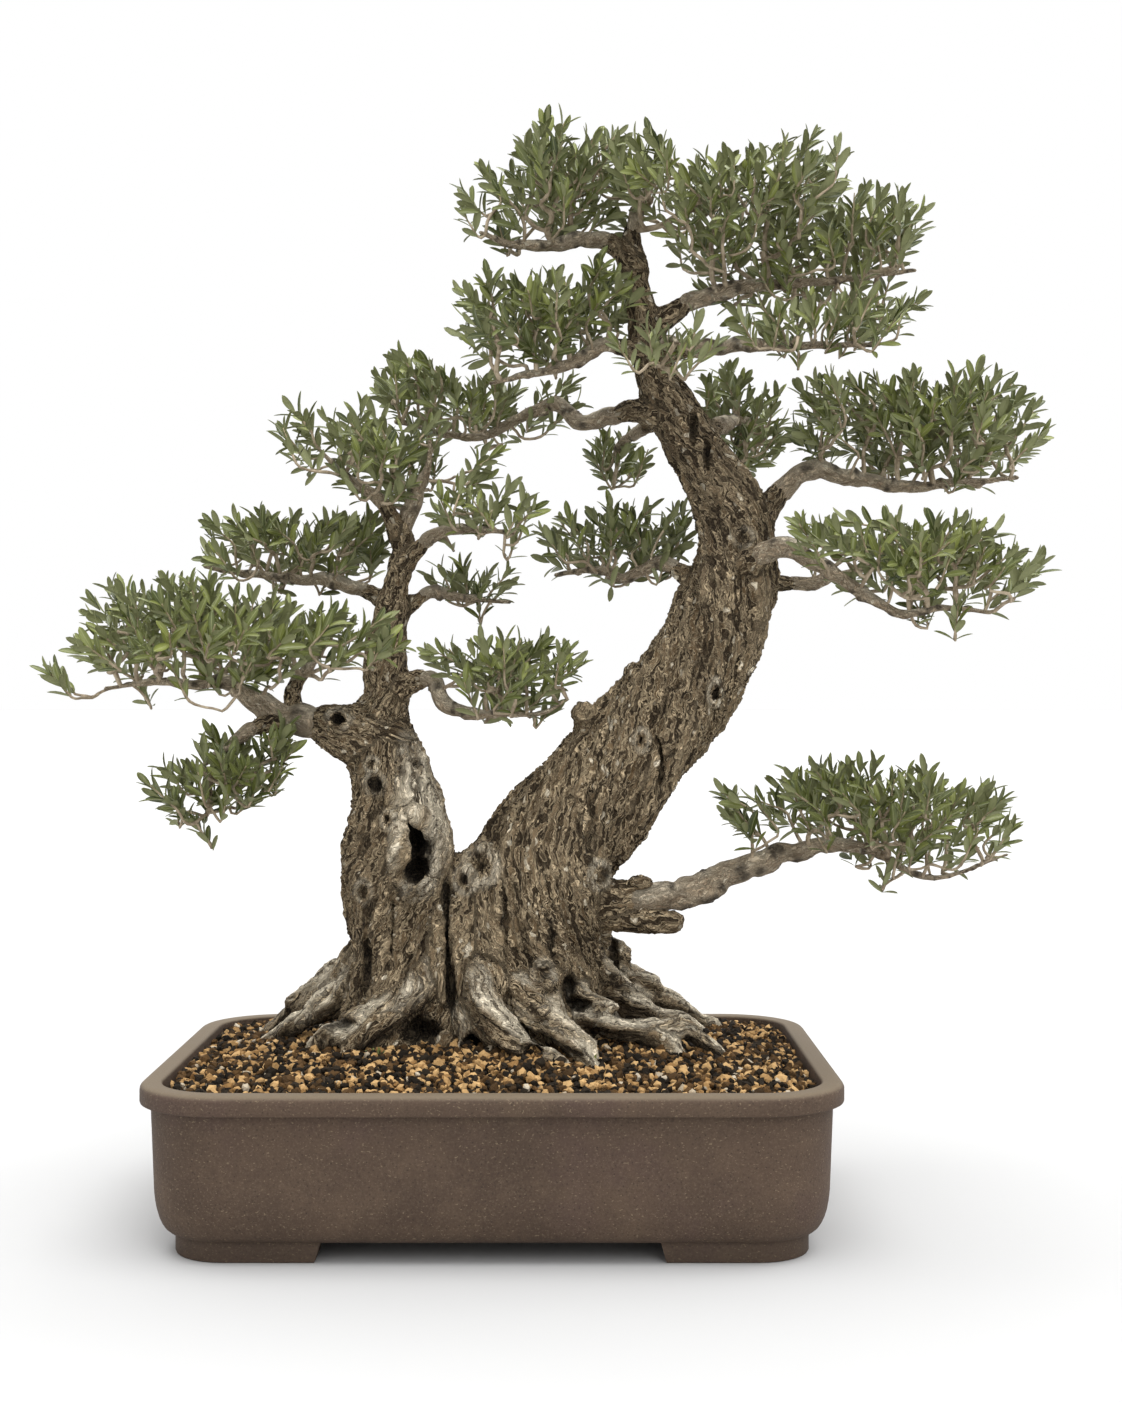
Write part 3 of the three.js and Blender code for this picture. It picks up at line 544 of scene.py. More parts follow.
class Field:
    """Distances to a surface on a grid of small cells, in millimetres."""

    def __init__(self, low, high):
        self.low = np.array(low, float)
        self.shape = np.ceil((np.array(high) - low) / VOXEL).astype(int)
        self.value = np.full(self.shape, BAND * 2, np.float32)

    def window(self, low, high):
        """The slice of the grid that covers a box, and its coordinates."""
        start = np.clip(((low - self.low) / VOXEL).astype(int), 0, self.shape - 1)
        stop = np.clip(((high - self.low) / VOXEL).astype(int) + 2, 1, self.shape)
        axes = [self.low[k] + VOXEL * np.arange(start[k], stop[k]) for k in range(3)]
        grid = np.meshgrid(*[a.astype(np.float32) for a in axes], indexing="ij", sparse=True)
        return tuple(slice(a, b) for a, b in zip(start, stop)), grid

    def blend(self, part, distance, softness):
        """Adds a shape to the wood."""
        self.value[part] = rounded_union(self.value[part], distance, softness)

    def carve(self, part, distance, softness):
        """Takes a shape out of the wood."""
        self.value[part] = -rounded_union(-self.value[part], distance, softness)

    def surface(self):
        """Points and quads where the distance is zero."""
        value = self.value
        inside = value < 0
        total = sum(inside[tuple(slice(c, c - 1 or None) for c in corner)].astype(np.int8)
                    for corner in np.ndindex(2, 2, 2))
        mixed = (total > 0) & (total < 8)
        cells = np.argwhere(mixed)
        ids = np.full(mixed.shape, -1, np.int64)
        ids[mixed] = np.arange(len(cells))
        place = np.zeros((len(cells), 3))
        count = np.zeros(len(cells))
        corners = list(np.ndindex(2, 2, 2))
        at = {c: value[tuple((cells + c).T)] for c in corners}
        for a in corners:
            for axis in range(3):
                if a[axis]:
                    continue
                b = tuple(v + (k == axis) for k, v in enumerate(a))
                cross = (at[a] < 0) != (at[b] < 0)
                share = np.where(cross, at[a] / np.where(cross, at[a] - at[b], 1), 0)
                point = np.tile(np.array(a, float), (len(cells), 1))
                point[:, axis] += share
                place += point * cross[:, None]
                count += cross
        points = self.low + VOXEL * (cells + place / count[:, None])
        quads = []
        for axis in range(3):
            one = [slice(None)] * 3
            two = [slice(None)] * 3
            one[axis], two[axis] = slice(0, -1), slice(1, None)
            flips = np.argwhere(inside[tuple(one)] != inside[tuple(two)])
            u, v = (axis + 1) % 3, (axis + 2) % 3
            flips = flips[(flips[:, u] > 0) & (flips[:, v] > 0)]
            flips = flips[(flips[:, u] < mixed.shape[u]) & (flips[:, v] < mixed.shape[v])]
            around = []
            for du, dv in ((-1, -1), (0, -1), (0, 0), (-1, 0)):
                near = flips.copy()
                near[:, u] += du
                near[:, v] += dv
                around.append(ids[tuple(near.T)])
            quad = np.stack(around, -1)
            solid_first = inside[tuple(flips.T)]
            quads.append(np.where(solid_first[:, None], quad, quad[:, ::-1]))
        return points, np.concatenate(quads)


class Limb:
    """A thick limb with a fluted section; it gives distances, and coordinates along its grain."""

    def __init__(self, rows, flutes=0.0, lobes=5, twist=0.0, seed=0, softness=8.0, gnarl=0.0):
        self.points, self.radii, self.along = smooth_path(rows, 6.0 if gnarl == 0 else 4.0)
        self.points[:, 2] += SOIL_Z
        if gnarl:
            place = np.column_stack([self.along, np.zeros((len(self.along), 2))])
            swell = hash_noise(place / 13.0 + [seed, 3.1, 0.4], 61) * np.clip(self.along / 30, 0, 1)
            self.radii = self.radii * (1 + gnarl * swell)
            for axis in (0, 1):
                sway = hash_noise(place / 19.0 + [seed, 7.3, axis + 0.6], 62) * np.clip(self.along / 40, 0, 1)
                self.points[:, axis] += gnarl * 13 * sway
        self.frames = carried_frames(self.points)
        self.flutes, self.lobes, self.twist, self.seed = flutes, lobes, twist, seed
        self.softness = softness

    def section(self, u, v, along):
        """How far the section stands proud of round, as a share of its radius."""
        if not self.flutes:
            return 0
        angle = np.arctan2(v, u) + self.twist * along
        wave = np.cos(self.lobes * angle + self.seed)
        wave = wave + 0.6 * np.cos((self.lobes - 2) * angle + 2.1 * self.seed)
        return self.flutes * wave * 0.6

    def nearest(self, grid, index, best):
        """Updates the best distance with one segment of the limb."""
        a, b = self.points[index], self.points[index + 1]
        way = b - a
        size = way @ way
        offset = [grid[k] - a[k] for k in range(3)]
        t = np.clip((offset[0] * way[0] + offset[1] * way[1] + offset[2] * way[2]) / size, 0, 1)
        offset = [offset[k] - t * way[k] for k in range(3)]
        reach = np.sqrt(offset[0] ** 2 + offset[1] ** 2 + offset[2] ** 2)
        radius = self.radii[index] + t * (self.radii[index + 1] - self.radii[index])
        closer = reach - radius < best["gap"]
        _, n, m = (f[index] for f in self.frames)
        found = {
            "gap": reach - radius,
            "radius": radius,
            "reach": reach,
            "u": sum(offset[k] * n[k] for k in range(3)),
            "v": sum(offset[k] * m[k] for k in range(3)),
            "along": self.along[index] + t * (self.along[index + 1] - self.along[index]),
        }
        for key, value in found.items():
            np.copyto(best[key], value.astype(np.float32), where=closer)

    def blank(self, shape):
        """A search result that any segment beats."""
        best = {key: np.zeros(shape, np.float32) for key in ("radius", "reach", "u", "v", "along")}
        best["gap"] = np.full(shape, 1e6, np.float32)
        return best

    def add_to(self, field):
        """Blends the whole limb into the grid, segment by segment."""
        reach = self.radii.max() + BAND
        part, _ = field.window(self.points.min(0) - reach, self.points.max(0) + reach)
        best = self.blank(field.value[part].shape)
        origin = [s.start for s in part]
        for index in range(len(self.points) - 1):
            ends = self.points[index : index + 2]
            reach = self.radii[index : index + 2].max() + BAND
            inner, small = field.window(ends.min(0) - reach, ends.max(0) + reach)
            local = tuple(slice(s.start - o, s.stop - o) for s, o in zip(inner, origin))
            self.nearest(small, index, {key: value[local] for key, value in best.items()})
        close = best["gap"] < BAND
        distance = best["gap"]
        swell = self.section(best["u"][close], best["v"][close], best["along"][close])
        distance[close] = best["reach"][close] - best["radius"][close] * (1 + swell)
        field.blend(part, np.minimum(distance, BAND * 2), self.softness)

    def at_points(self, points):
        """Where each point lies on the limb, between the planes square to its middle line."""
        best = self.blank(len(points))
        last = len(self.points) - 2
        tangent, across, beside = self.frames
        for index in range(last + 1):
            before = (points - self.points[index]) @ tangent[index]
            after = (points - self.points[index + 1]) @ tangent[index + 1]
            here = ((before >= 0) | (index == 0)) & ((after < 0) | (index == last))
            t = np.clip(before[here] / np.maximum(before[here] - after[here], 1e-6), 0, 1)[:, None]
            middle = self.points[index] * (1 - t) + self.points[index + 1] * t
            offset = points[here] - middle
            n = across[index] * (1 - t) + across[index + 1] * t
            m = beside[index] * (1 - t) + beside[index + 1] * t
            t = t[:, 0]
            radius = self.radii[index] * (1 - t) + self.radii[index + 1] * t
            gap = np.linalg.norm(offset, axis=1) - radius
            closer = gap < best["gap"][here]
            chosen = np.flatnonzero(here)[closer]
            best["gap"][chosen] = gap[closer]
            best["radius"][chosen] = radius[closer]
            best["u"][chosen] = (offset * n).sum(1)[closer]
            best["v"][chosen] = (offset * m).sum(1)[closer]
            best["along"][chosen] = (self.along[index] * (1 - t) + self.along[index + 1] * t)[closer]
        return best


def with_foot(rows, depth=28):
    """The trunk goes on down into the soil."""
    x, y, _, radius = rows[0]
    return [[x, y, -depth, radius * 0.85]] + rows


def collar_length(rows):
    """How far a branch still wears the trunk's old bark."""
    return 26 + rows[0][3] * 1.5


def collar(rows):
    """The start of a branch, tapered so that it ends inside the branch itself."""
    points, radii, along = smooth_path(rows, 5.0)
    keep = along <= collar_length(rows)
    fade = np.interp(along[keep] / along[keep][-1], [0, 0.7, 1], [1.12, 1.05, 0.55])
    return np.column_stack([points[keep], radii[keep] * fade]).tolist()


limbs = [
    Limb(with_foot(RIGHT_TRUNK), flutes=0.10, lobes=5, twist=0.012, seed=1.3),
    Limb(with_foot(LEFT_TRUNK), flutes=0.11, lobes=5, twist=-0.014, seed=0.4, softness=13),
    Limb(STUB, softness=5),
    Limb(CROTCH, flutes=0.08, lobes=4, seed=2.2, softness=14),
]
for number, rows in enumerate(ROOTS):
    limbs.append(Limb(rows, flutes=0.20, lobes=4, twist=0.03, seed=number * 1.7, softness=5.0, gnarl=0.30))
# A branch thicker than this at its start has a collar of old bark that is one with the trunk.
COLLAR_RADIUS = 5.6
for rows in BRANCHES.values():
    if rows[0][3] > COLLAR_RADIUS:
        limbs.append(Limb(collar(rows), softness=5))

# The grid holds the trunks, the roots down into the soil and every collar.
wood = Field((-214, -100, SOIL_Z - 30), (214, 136, SOIL_Z + 545))
for limb in limbs:
    limb.add_to(wood)


def ball_distance(grid, middle, half):
    """An approximate distance to an ellipsoid's surface."""
    scaled = np.sqrt(sum(((grid[k] - middle[k]) / half[k]) ** 2 for k in range(3)))
    return (scaled - 1) * min(half)


def front_of(x, z):
    """Where the front of the wood is, at a place seen from the front."""
    column = wood.value[int((x - wood.low[0]) / VOXEL), :, int((z + SOIL_Z - wood.low[2]) / VOXEL)]
    return wood.low[1] + VOXEL * float(np.argmax(column < 0))


def change(middle, half, softness, carve=False):
    """Adds or carves an ellipsoid at a place above the soil."""
    middle, half = np.array(middle, float) + [0, 0, SOIL_Z], np.array(half, float)
    part, grid = wood.window(middle - half - BAND, middle + half + BAND)
    (wood.carve if carve else wood.blend)(part, ball_distance(grid, middle, half), softness)


# Healed wounds: x and z seen from the front, half width, half height, thickness of the callus
# roll round them, and how deep the middle has rotted.
WOUNDS = [
    (-51, 136, 9.5, 21, 4.6, 24), (-100.5, 219, 4.6, 4.6, 3.2, 6), (-77, 178.5, 4.0, 4.5, 2.6, 5),
    (-79, 191, 2.6, 2.6, 2.2, 3), (-52, 190, 3.2, 4.0, 2.6, 3), (-68, 156, 3.0, 3.6, 2.4, 5),
    (-10, 126, 7.0, 8.0, 4.0, 1.5),
    (-20, 117, 4.2, 5.2, 3.0, 4), (139, 236, 2.6, 6.0, 2.6, 4), (92, 206, 3.0, 5.0, 2.4, 2),
    (66, 120, 4.0, 6.0, 3.0, 3),
    (157, 335, 3.6, 3.6, 2.6, 5), (116, 98, 3.0, 3.0, 2.0, 2), (30, 60, 4.0, 6.0, 3.0, 2),
    (-84, 110, 3.0, 5.0, 2.4, 2),
]
# Old pruning stumps, grooves between the flutes and dark gaps under the roots.
BUMPS = [
    ([12, -2, 155], [7, 14, 6], 5.0), ([56, -2, 221], [7, 10, 7], 5.0), ([88, -2, 248], [6, 10, 7], 4.0),
    ([60, -44, 104], [9, 6, 10], 5.0), ([92, -6, 114], [8, 8, 4], 3.0), ([110, -28, 222], [6, 6, 20], 5.0),
    ([34, -40, 70], [10, 8, 34], 7.0), ([-86, -20, 130], [12, 12, 26], 7.0),
]
HOLLOWS = [
    ([129, -34, 226], [3.5, 9, 22], 4.0), ([86, -30, 150], [4, 9, 30], 5.0),
]
# x and z seen from the front, half width, half height, depth into the wood, and the edge's softness.
GROOVES = [
    (-31, 80, 3.6, 34, 15, 4.0), (-34, 104, 3.0, 16, 10, 3.0), (-29, 48, 4.0, 16, 16, 3.0),
    (-47, 21, 13, 8, 26, 3.0), (-14, 11, 7.5, 10, 24, 2.0), (45, 50, 5.5, 10, 15, 3.0),
    (35, 76, 3.0, 22, 9, 4.0),
    (52, 38, 9, 5, 14, 2.5), (86, 32, 13, 4.5, 14, 2.5), (-101, 27, 12, 4.5, 12, 2.5),
    (24, 14, 6, 5, 12, 2.0),
    (66, 108, 3.4, 7, 10, 2.0), (60, 150, 2.6, 28, 7, 4.0), (6, 96, 2.6, 26, 6, 4.0),
    (-82, 60, 3.0, 26, 8, 4.0),
    (104, 190, 2.6, 22, 7, 3.0), (126, 408, 2.6, 13, 8, 2.0), (135, 391, 2.6, 13, 8, 2.0),
    (-66, 84, 2.6, 22, 6, 4.0), (76, 66, 3.0, 20, 9, 3.0),
]
for middle, half, softness in BUMPS:
    change(middle, half, softness)
for middle, half, softness in HOLLOWS:
    change(middle, half, softness, carve=True)
groove_places = [[x, front_of(x, z), z] for x, z, *_ in GROOVES]
for place, (_, _, half_x, half_z, depth, softness) in zip(groove_places, GROOVES):
    change(place, [half_x, depth, half_z], softness, carve=True)
wound_places = []
for x, z, half_x, half_z, roll, depth in WOUNDS:
    y = front_of(x, z)
    wound_places.append([x, y, z])
    steps = max(10, int((half_x + half_z) * 1.1))
    for angle in np.linspace(0, 2 * math.pi, steps, endpoint=False):
        bulge = roll * (1 + 0.22 * math.sin(3 * angle + x) + 0.16 * math.sin(5 * angle))
        edge_x = x + (half_x + roll * 0.45) * math.cos(angle)
        edge_z = z + (half_z + roll * 0.45) * math.sin(angle)
        edge_y = front_of(edge_x, edge_z)
        if abs(edge_y - y) < 18:
            change([edge_x, edge_y + bulge * 0.25, edge_z], [bulge] * 3, 3.0)
for (x, z, half_x, half_z, _, depth), (_, y, _) in zip(WOUNDS, wound_places):
    lobes = [(0, 0, half_x, half_z)]
    if depth > 20:  # the big hollow is three holes that run into each other
        lobes = [(0, -12, 9.5, 10.5), (-0.5, 6, 6.4, 12.5), (-3.5, 17, 3.2, 8)]
    for right, up, wide, tall in lobes:
        change([x + right, y, z + up], [wide, depth, tall], 1.2, carve=True)
trunk_points, trunk_quads = wood.surface()


def largest_body(points, quads):
    """The one connected skin that holds the most points."""
    label = np.arange(len(points))
    while True:
        lowest = label[quads].min(1)
        new = label.copy()
        for corner in range(4):
            np.minimum.at(new, quads[:, corner], lowest)
        new = new[new]
        if (new == label).all():
            break
        label = new
    main = label == np.bincount(label).argmax()
    kept = np.cumsum(main) - 1
    return points[main], kept[quads[main[quads[:, 0]]]]


trunk_points, trunk_quads = largest_body(trunk_points, trunk_quads)


def point_normals(points, quads):
    """The mean direction of the faces round each point, of unit length."""
    a, b, c, d = (points[quads[:, k]] for k in range(4))
    face = np.cross(c - a, d - b)
    normals = np.zeros_like(points)
    for corner in range(4):
        np.add.at(normals, quads[:, corner], face)
    return normals / np.maximum(np.linalg.norm(normals, axis=1, keepdims=True), 1e-9)


nearest_gap = np.full(len(trunk_points), 1e6)
trunk_grain = np.zeros((len(trunk_points), 3))
trunk_radius = np.full(len(trunk_points), 5.0)
trunk_root = np.zeros(len(trunk_points))
for number, limb in enumerate(limbs):
    low = (limb.points - limb.radii[:, None]).min(0) - BAND
    high = (limb.points + limb.radii[:, None]).max(0) + BAND
    near = np.flatnonzero(((trunk_points > low) & (trunk_points < high)).all(1))
    found = limb.at_points(trunk_points[near])
    closer = found["gap"] < nearest_gap[near]
    chosen = near[closer]
    nearest_gap[chosen] = found["gap"][closer]
    turn = limb.twist * found["along"][closer]
    u, v = found["u"][closer], found["v"][closer]
    turned = [u * np.cos(turn) - v * np.sin(turn), u * np.sin(turn) + v * np.cos(turn)]
    trunk_grain[chosen] = np.stack([*turned, found["along"][closer] + 977 * number], -1)
    trunk_radius[chosen] = found["radius"][closer]
    trunk_root[chosen] = 1.0 if 4 <= number < 4 + len(ROOTS) else 0.0

normals = point_normals(trunk_points, trunk_quads)
thick = np.clip(trunk_radius / 26, 0.16, 1)
warp = np.stack([hash_noise(trunk_grain / [14, 14, 30], 90 + k) for k in range(3)], -1) * 4.0
bent = trunk_grain + warp
# Deep furrows between long plates, the plates' own cracks, then lumps and chips.
furrow = ridges(bent * [1, 1, 0.15] / 12.0, 11, 3)
plate = ridges(bent * [1, 1, 0.22] / 4.4, 29, 2)
chip = hash_noise(bent * [1, 1, 0.35] / 3.4, 43)
lump = hash_noise(trunk_grain / [26, 26, 48], 5)
relief = (furrow - 0.62) * 5.4 * thick + (plate - 0.6) * 3.8 * np.sqrt(thick)
relief += lump * 2.6 * thick + chip * 0.8 * np.sqrt(thick)
trunk_points = trunk_points + normals * relief[:, None]
pale_spot = hash_noise(trunk_grain * [1, 1, 0.22] / 12.0, 71)
facing_up = np.clip(normals[:, 2] * 1.3 + 0.25, 0, 1)
from_soil = trunk_points[:, 2] - SOIL_Z
low_down = np.interp(from_soil, [45, 75], [1, 0.2])
trunk_pale = trunk_root * facing_up * np.clip((pale_spot + 0.35) * 2.6, 0, 1) * low_down
from_scar = scaled_distance(trunk_points, [-44, -22, SOIL_Z + 172], [20, 24, 44])
scar = np.interp(from_scar, [0.6, 1.3], [1, 0])
trunk_pale = np.maximum(trunk_pale, scar * np.clip((pale_spot + 0.35) * 2.0, 0, 1))
# Painted shade, near black in the material: inside wounds and hollows, in the carved grooves, under the roots
# and towards the crown.
trunk_painted_shade = np.zeros(len(trunk_points))
# Painted shade inside each wound and hollow, darker where it is carved deeper.
for (x, z, half_x, half_z, _, depth), (_, y, _) in zip(WOUNDS, wound_places):
    away = scaled_distance(trunk_points[:, [0, 2]], [x, z + SOIL_Z], [half_x + 1, half_z + 1])
    sunk = np.interp(trunk_points[:, 1] - y, [0.5, 1 + min(depth, 7) * 0.6], [0, min(1, 0.2 + depth / 6)])
    sunk = sunk * np.interp(away, [0.9, 1.25], [1, 0]) * (trunk_points[:, 1] < y + 40)
    trunk_painted_shade = np.maximum(trunk_painted_shade, sunk)
# Painted shade in the carved grooves.
for (x, z, half_x, half_z, depth, _), (_, y, _) in zip(GROOVES, groove_places):
    away = scaled_distance(trunk_points, [x, y, z + SOIL_Z], [half_x + 1.5, depth + 2, half_z + 1.5])
    sunk = np.interp(trunk_points[:, 1] - y, [1, 8], [0, 0.85])
    trunk_painted_shade = np.maximum(trunk_painted_shade, sunk * np.interp(away, [0.95, 1.15], [1, 0]))
for (x, z, half_x, half_z, roll, _), (_, y, _) in zip(WOUNDS, wound_places):
    away = scaled_distance(trunk_points[:, [0, 2]], [x, z + SOIL_Z], [half_x + roll, half_z + roll])
    near = np.interp(away, [0.6, 0.8, 1.05, 1.35], [0, 1, 1, 0]) * (trunk_points[:, 1] < y + 25)
    trunk_pale = np.maximum(trunk_pale, near * np.clip(pale_spot + 0.65, 0, 1) * 0.75)

# Painted shade under the roots, on faces that look down near the soil.
overhang_painted_shade = np.clip(-normals[:, 2] * 1.6 + 0.1, 0, 1) * np.interp(from_soil, [14, 70], [0.85, 0])
trunk_painted_shade = np.maximum(trunk_painted_shade, overhang_painted_shade)
# Painted shade from the crown: the bark is painted darker towards the crown, in streaks.
crown_painted_shade = np.interp(from_soil, [180, 400], [0, 0.36]) * np.clip(0.75 - pale_spot, 0, 1)
trunk_painted_shade = np.maximum(trunk_painted_shade, crown_painted_shade)
trunk = new_piece("trunk_and_roots", trunk_points, trunk_quads)
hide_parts("trunk")
set_attribute(trunk, "grain", trunk_grain / 1000)
set_attribute(trunk, "relief", np.clip(0.55 + relief / 7, 0, 1))
set_attribute(trunk, "pale", trunk_pale)
set_attribute(trunk, "deep", trunk_painted_shade)
set_attribute(trunk, "from_soil", from_soil / 1000)


def bark_material(name, size, contrast, tones):
    """Weathered olive bark: curled flakes with painted highlights on their edges, painted shadow in the
    crevices beside them, and bare, split wood.
    """
    bark = Surface(name)
    grain = bark.attribute("grain", vector=True)
    relief = bark.attribute("relief")
    swirl = bark.node("TexNoise", {"Vector": grain, "Scale": 120.0, "Detail": 2.0}, output=1)
    push = bark.node("VectorMath", {0: swirl, 1: (0.5, 0.5, 0.5)}, operation="SUBTRACT")
    push = bark.stretch(push, 0.010, 0.010, 0.012)
    bent = bark.node("VectorMath", {0: grain, 1: push}, operation="ADD")
    curl = bark.noise(290 / size, 3, 0.58, vector=bark.stretch(bent, 1, 1, 0.16), distortion=0.4) - 0.5
    strip = bark.noise(500 / size, 3, 0.65, vector=bark.stretch(bent, 1, 1, 0.12), distortion=0.3) - 0.5
    split = bark.noise(340 / size, 4, 0.7, vector=bark.stretch(bent, 1, 1, 0.07))
    tint = bark.noise(26, 4, 0.6, vector=bark.stretch(grain, 1, 1, 0.5))
    fleck_place = bark.stretch(bent, 1, 1, 0.6)
    fleck = bark.cells(210 / size, vector=fleck_place)
    fleck_tone = bark.node("SeparateXYZ", {0: bark.cells(210 / size, vector=fleck_place, output=1)})
    dust = bark.noise(800, 3, 0.6)
    # Painted light on the flakes: a pale line on each crest and a dark band on one side of it, as if lit from
    # one side.
    crest_highlight = curl.math("ABSOLUTE").between(0.056, 0.010)
    strip_highlight = strip.math("ABSOLUTE").between(0.050, 0.0)
    crest_shadow = curl.between(0.034, 0.075) * curl.between(0.26, 0.15)
    strip_shadow = strip.between(0.036, 0.085) * strip.between(0.24, 0.12)
    dark, middle, light, bare = tones
    color = bark.mix(tint.between(0.40, 0.75) * 0.30, middle, light)
    color = bark.mix(tint.between(0.48, 0.30) * 0.6, color, dark)
    # Painted shadow beside the crests and painted highlights on them.
    color = bark.mix(strip_shadow * contrast * 0.75, color, dark)
    color = bark.mix(strip_highlight * 0.60, color, light)
    color = bark.mix(crest_shadow * contrast, color, dark)
    color = bark.mix(crest_highlight * 0.95, color, light)
    # Painted highlight: the raised parts of the relief are painted paler.
    color = bark.mix(relief.between(0.62, 0.95) * 0.30, color, light)
    # Weathered wood on the roots, scars and wound rims. On the branches the same tone is pale patches and
    # painted light on their upper sides.
    weathered_and_painted_top_light = bark.mix(split.between(0.50, 0.42) * contrast, bare, dark)
    weathered_and_painted_top_light = bark.mix(strip_highlight * 0.4, weathered_and_painted_top_light, bare)
    color = bark.mix(bark.attribute("pale") * 0.9, color, weathered_and_painted_top_light)
    spots = fleck.between(0.36, 0.20) * fleck_tone.between(0.74, 0.80) * relief.between(0.3, 0.6)
    color = bark.mix(spots * 0.9, color, bare)
    # Painted shade: the low parts of the relief, between flutes and roots, are painted darker.
    color = bark.mix(relief.between(0.38, 0.10) * contrast * 0.8, color, dark)
    # Near black: painted shade on the trunk, and the dark knots of the branches.
    color = bark.mix(bark.attribute("deep"), color, (0.006, 0.004, 0.003))
    color = bark.mix(dust.between(0.35, 0.75) * 0.12, color, light)
    height = crest_highlight * 0.8 + strip_highlight * 0.4 + split * 0.3 + dust * 0.12
    height = height - crest_shadow * 0.9 - strip_shadow * 0.4
    return bark, color, bark.bump(height, 0.0022 * size, 1.0)


BARK_TONES = [(0.018, 0.010, 0.004), (0.102, 0.064, 0.030), (0.62, 0.485, 0.308), (0.98, 0.87, 0.67)]
bark, bark_color, bark_bump = bark_material("old_olive_bark", 1.0, 0.9, BARK_TONES)
bark.finish(trunk, bark_color, 0.92, bark_bump, Specular_IOR_Level=0.2)


# ---------------------------------------------------------------- branches
# Younger wood with thinner, smoother bark, grey tan with dark nodes where old shoots were
# pinched off. Each branch leaves its collar on the trunk and thins towards its leaves.

def tube(points, radii, sides, relief=None):
    """Rings of points round a path, and their offsets from it; the relief adds to the radius."""
    _, across, beside = carried_frames(points)
    angles = np.linspace(0, 2 * math.pi, sides, endpoint=False)
    out = across[:, None] * np.cos(angles)[None, :, None] + beside[:, None] * np.sin(angles)[None, :, None]
    reach = np.repeat(radii[:, None], sides, 1)
    if relief is not None:
        reach = reach + relief
    rings = points[:, None] + out * reach[:, :, None]
    return rings, out * reach[:, :, None]


BRANCH_SIDES = 18
THICK_BRANCH = 15
rng = np.random.default_rng(404)
branch_pieces = []
branch_paths = {}
for number, (name, rows) in enumerate(BRANCHES.items()):
    points, radii, along = smooth_path(rows, 1.9)
    radii = radii * np.interp(along / along[-1], [0, 0.4, 1], [1, 1, 0.55])
    if rows[0][3] > COLLAR_RADIUS:
        covered = collar_length(rows)
        bare_from = 0.66 if rows[0][3] > THICK_BRANCH else 0.45
        kept = along > covered * bare_from
        points, radii, along = points[kept], radii[kept], along[kept]
        radii = radii * np.interp(along / covered, [bare_from, bare_from + 0.3], [0.50, 1.0])
    points[:, 2] += SOIL_Z
    wander = np.stack([hash_noise(np.stack([along / 17, along * 0 + k * 9.1, along * 0 + number], -1), 3)
                       for k in range(3)], -1)
    points = points + wander * np.minimum(radii, 4)[:, None] * 0.55 * np.clip(along / 30, 0, 1)[:, None]
    branch_paths[name] = (points, radii)
    sides = BRANCH_SIDES
    _, section = tube(points, radii, sides)
    angles = np.linspace(0, 2 * math.pi, sides, endpoint=False)
    grain = np.stack([
        radii[:, None] * np.cos(angles), radii[:, None] * np.sin(angles),
        np.repeat(along[:, None], sides, 1) + 311 * (number + 40),
    ], -1).reshape(-1, 3)
    coarse = hash_noise(grain / [9, 9, 16], 17)
    fine = ridges(grain * [1, 1, 0.3] / 5.0, 23, 2) - 0.6
    knots = np.zeros(len(grain))
    dark = np.zeros(len(grain))
    for _ in range(int(along[-1] / 5)):
        where = rng.uniform(along[0] + 6, along[-1])
        angle = rng.uniform(0, 2 * math.pi)
        size = np.interp(where, along, radii)
        centre = np.array([size * math.cos(angle), size * math.sin(angle), where + 311 * (number + 40)])
        away = np.linalg.norm((grain - centre) / (0.5 * size + 1.2), axis=1)
        knots += np.interp(away, [0, 0.35, 0.8, 1.5], [0.15, 0.55, 0.3, 0]) * (size * 0.34 + 0.4)
        dark = np.maximum(dark, np.interp(away, [0.45, 0.9], [1, 0]))
    relief = (coarse * 0.24 + fine * 0.22) * np.repeat(radii, sides) + knots
    relief *= np.repeat(np.interp(along - along[0], [0, 22], [0, 1]), sides)
    dark *= np.repeat(np.interp(along - along[0], [6, 24], [0, 1]), sides)
    rings, _ = tube(points, radii, sides, relief.reshape(len(points), sides))
    ends = np.stack([rings[0].mean(0), rings[-1].mean(0) + (points[-1] - points[-2]) * 0.5])
    quads, fans = sweep_faces(len(points), sides)
    skin = np.concatenate([rings.reshape(-1, 3), ends])
    piece = new_piece("branch_wood_" + name, skin, [quads, fans])
    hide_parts("branch_" + name)
    pad = np.zeros(2)
    set_attribute(piece, "grain", np.concatenate([grain, grain[[0, -1]]]) / 1000)
    set_attribute(piece, "relief", np.clip(0.55 + np.concatenate([relief, pad]) / 3, 0, 1))
    # Pale patches on the branches, stronger on their upper sides as painted light from above.
    upward = section[:, :, 2].ravel() / np.repeat(radii, sides)
    pale_patches_and_painted_top_light = np.clip(coarse * 1.4 + 0.45, 0, 1) * np.clip(upward + 0.15, 0, 1) * 0.85
    set_attribute(piece, "pale", np.concatenate([pale_patches_and_painted_top_light, pad]))
    set_attribute(piece, "deep", np.concatenate([dark * 0.8, pad]))
    branch_pieces.append(piece)

TWIG_TONES = [(0.150, 0.102, 0.062), (0.37, 0.285, 0.19), (0.64, 0.53, 0.38), (0.82, 0.74, 0.58)]
twig_bark, twig_color, twig_bump = bark_material("young_branch_bark", 0.6, 0.42, TWIG_TONES)
twig_bark.finish(branch_pieces, twig_color, 0.85, twig_bump, Specular_IOR_Level=0.25)


# ---------------------------------------------------------------- leaves and their twigs
# Every cloud is a branch's fan of twigs. Shoots stand up and out from it, and each shoot holds
# opposite pairs of narrow, leathery leaves: dark and slightly glossy above, grey green below.

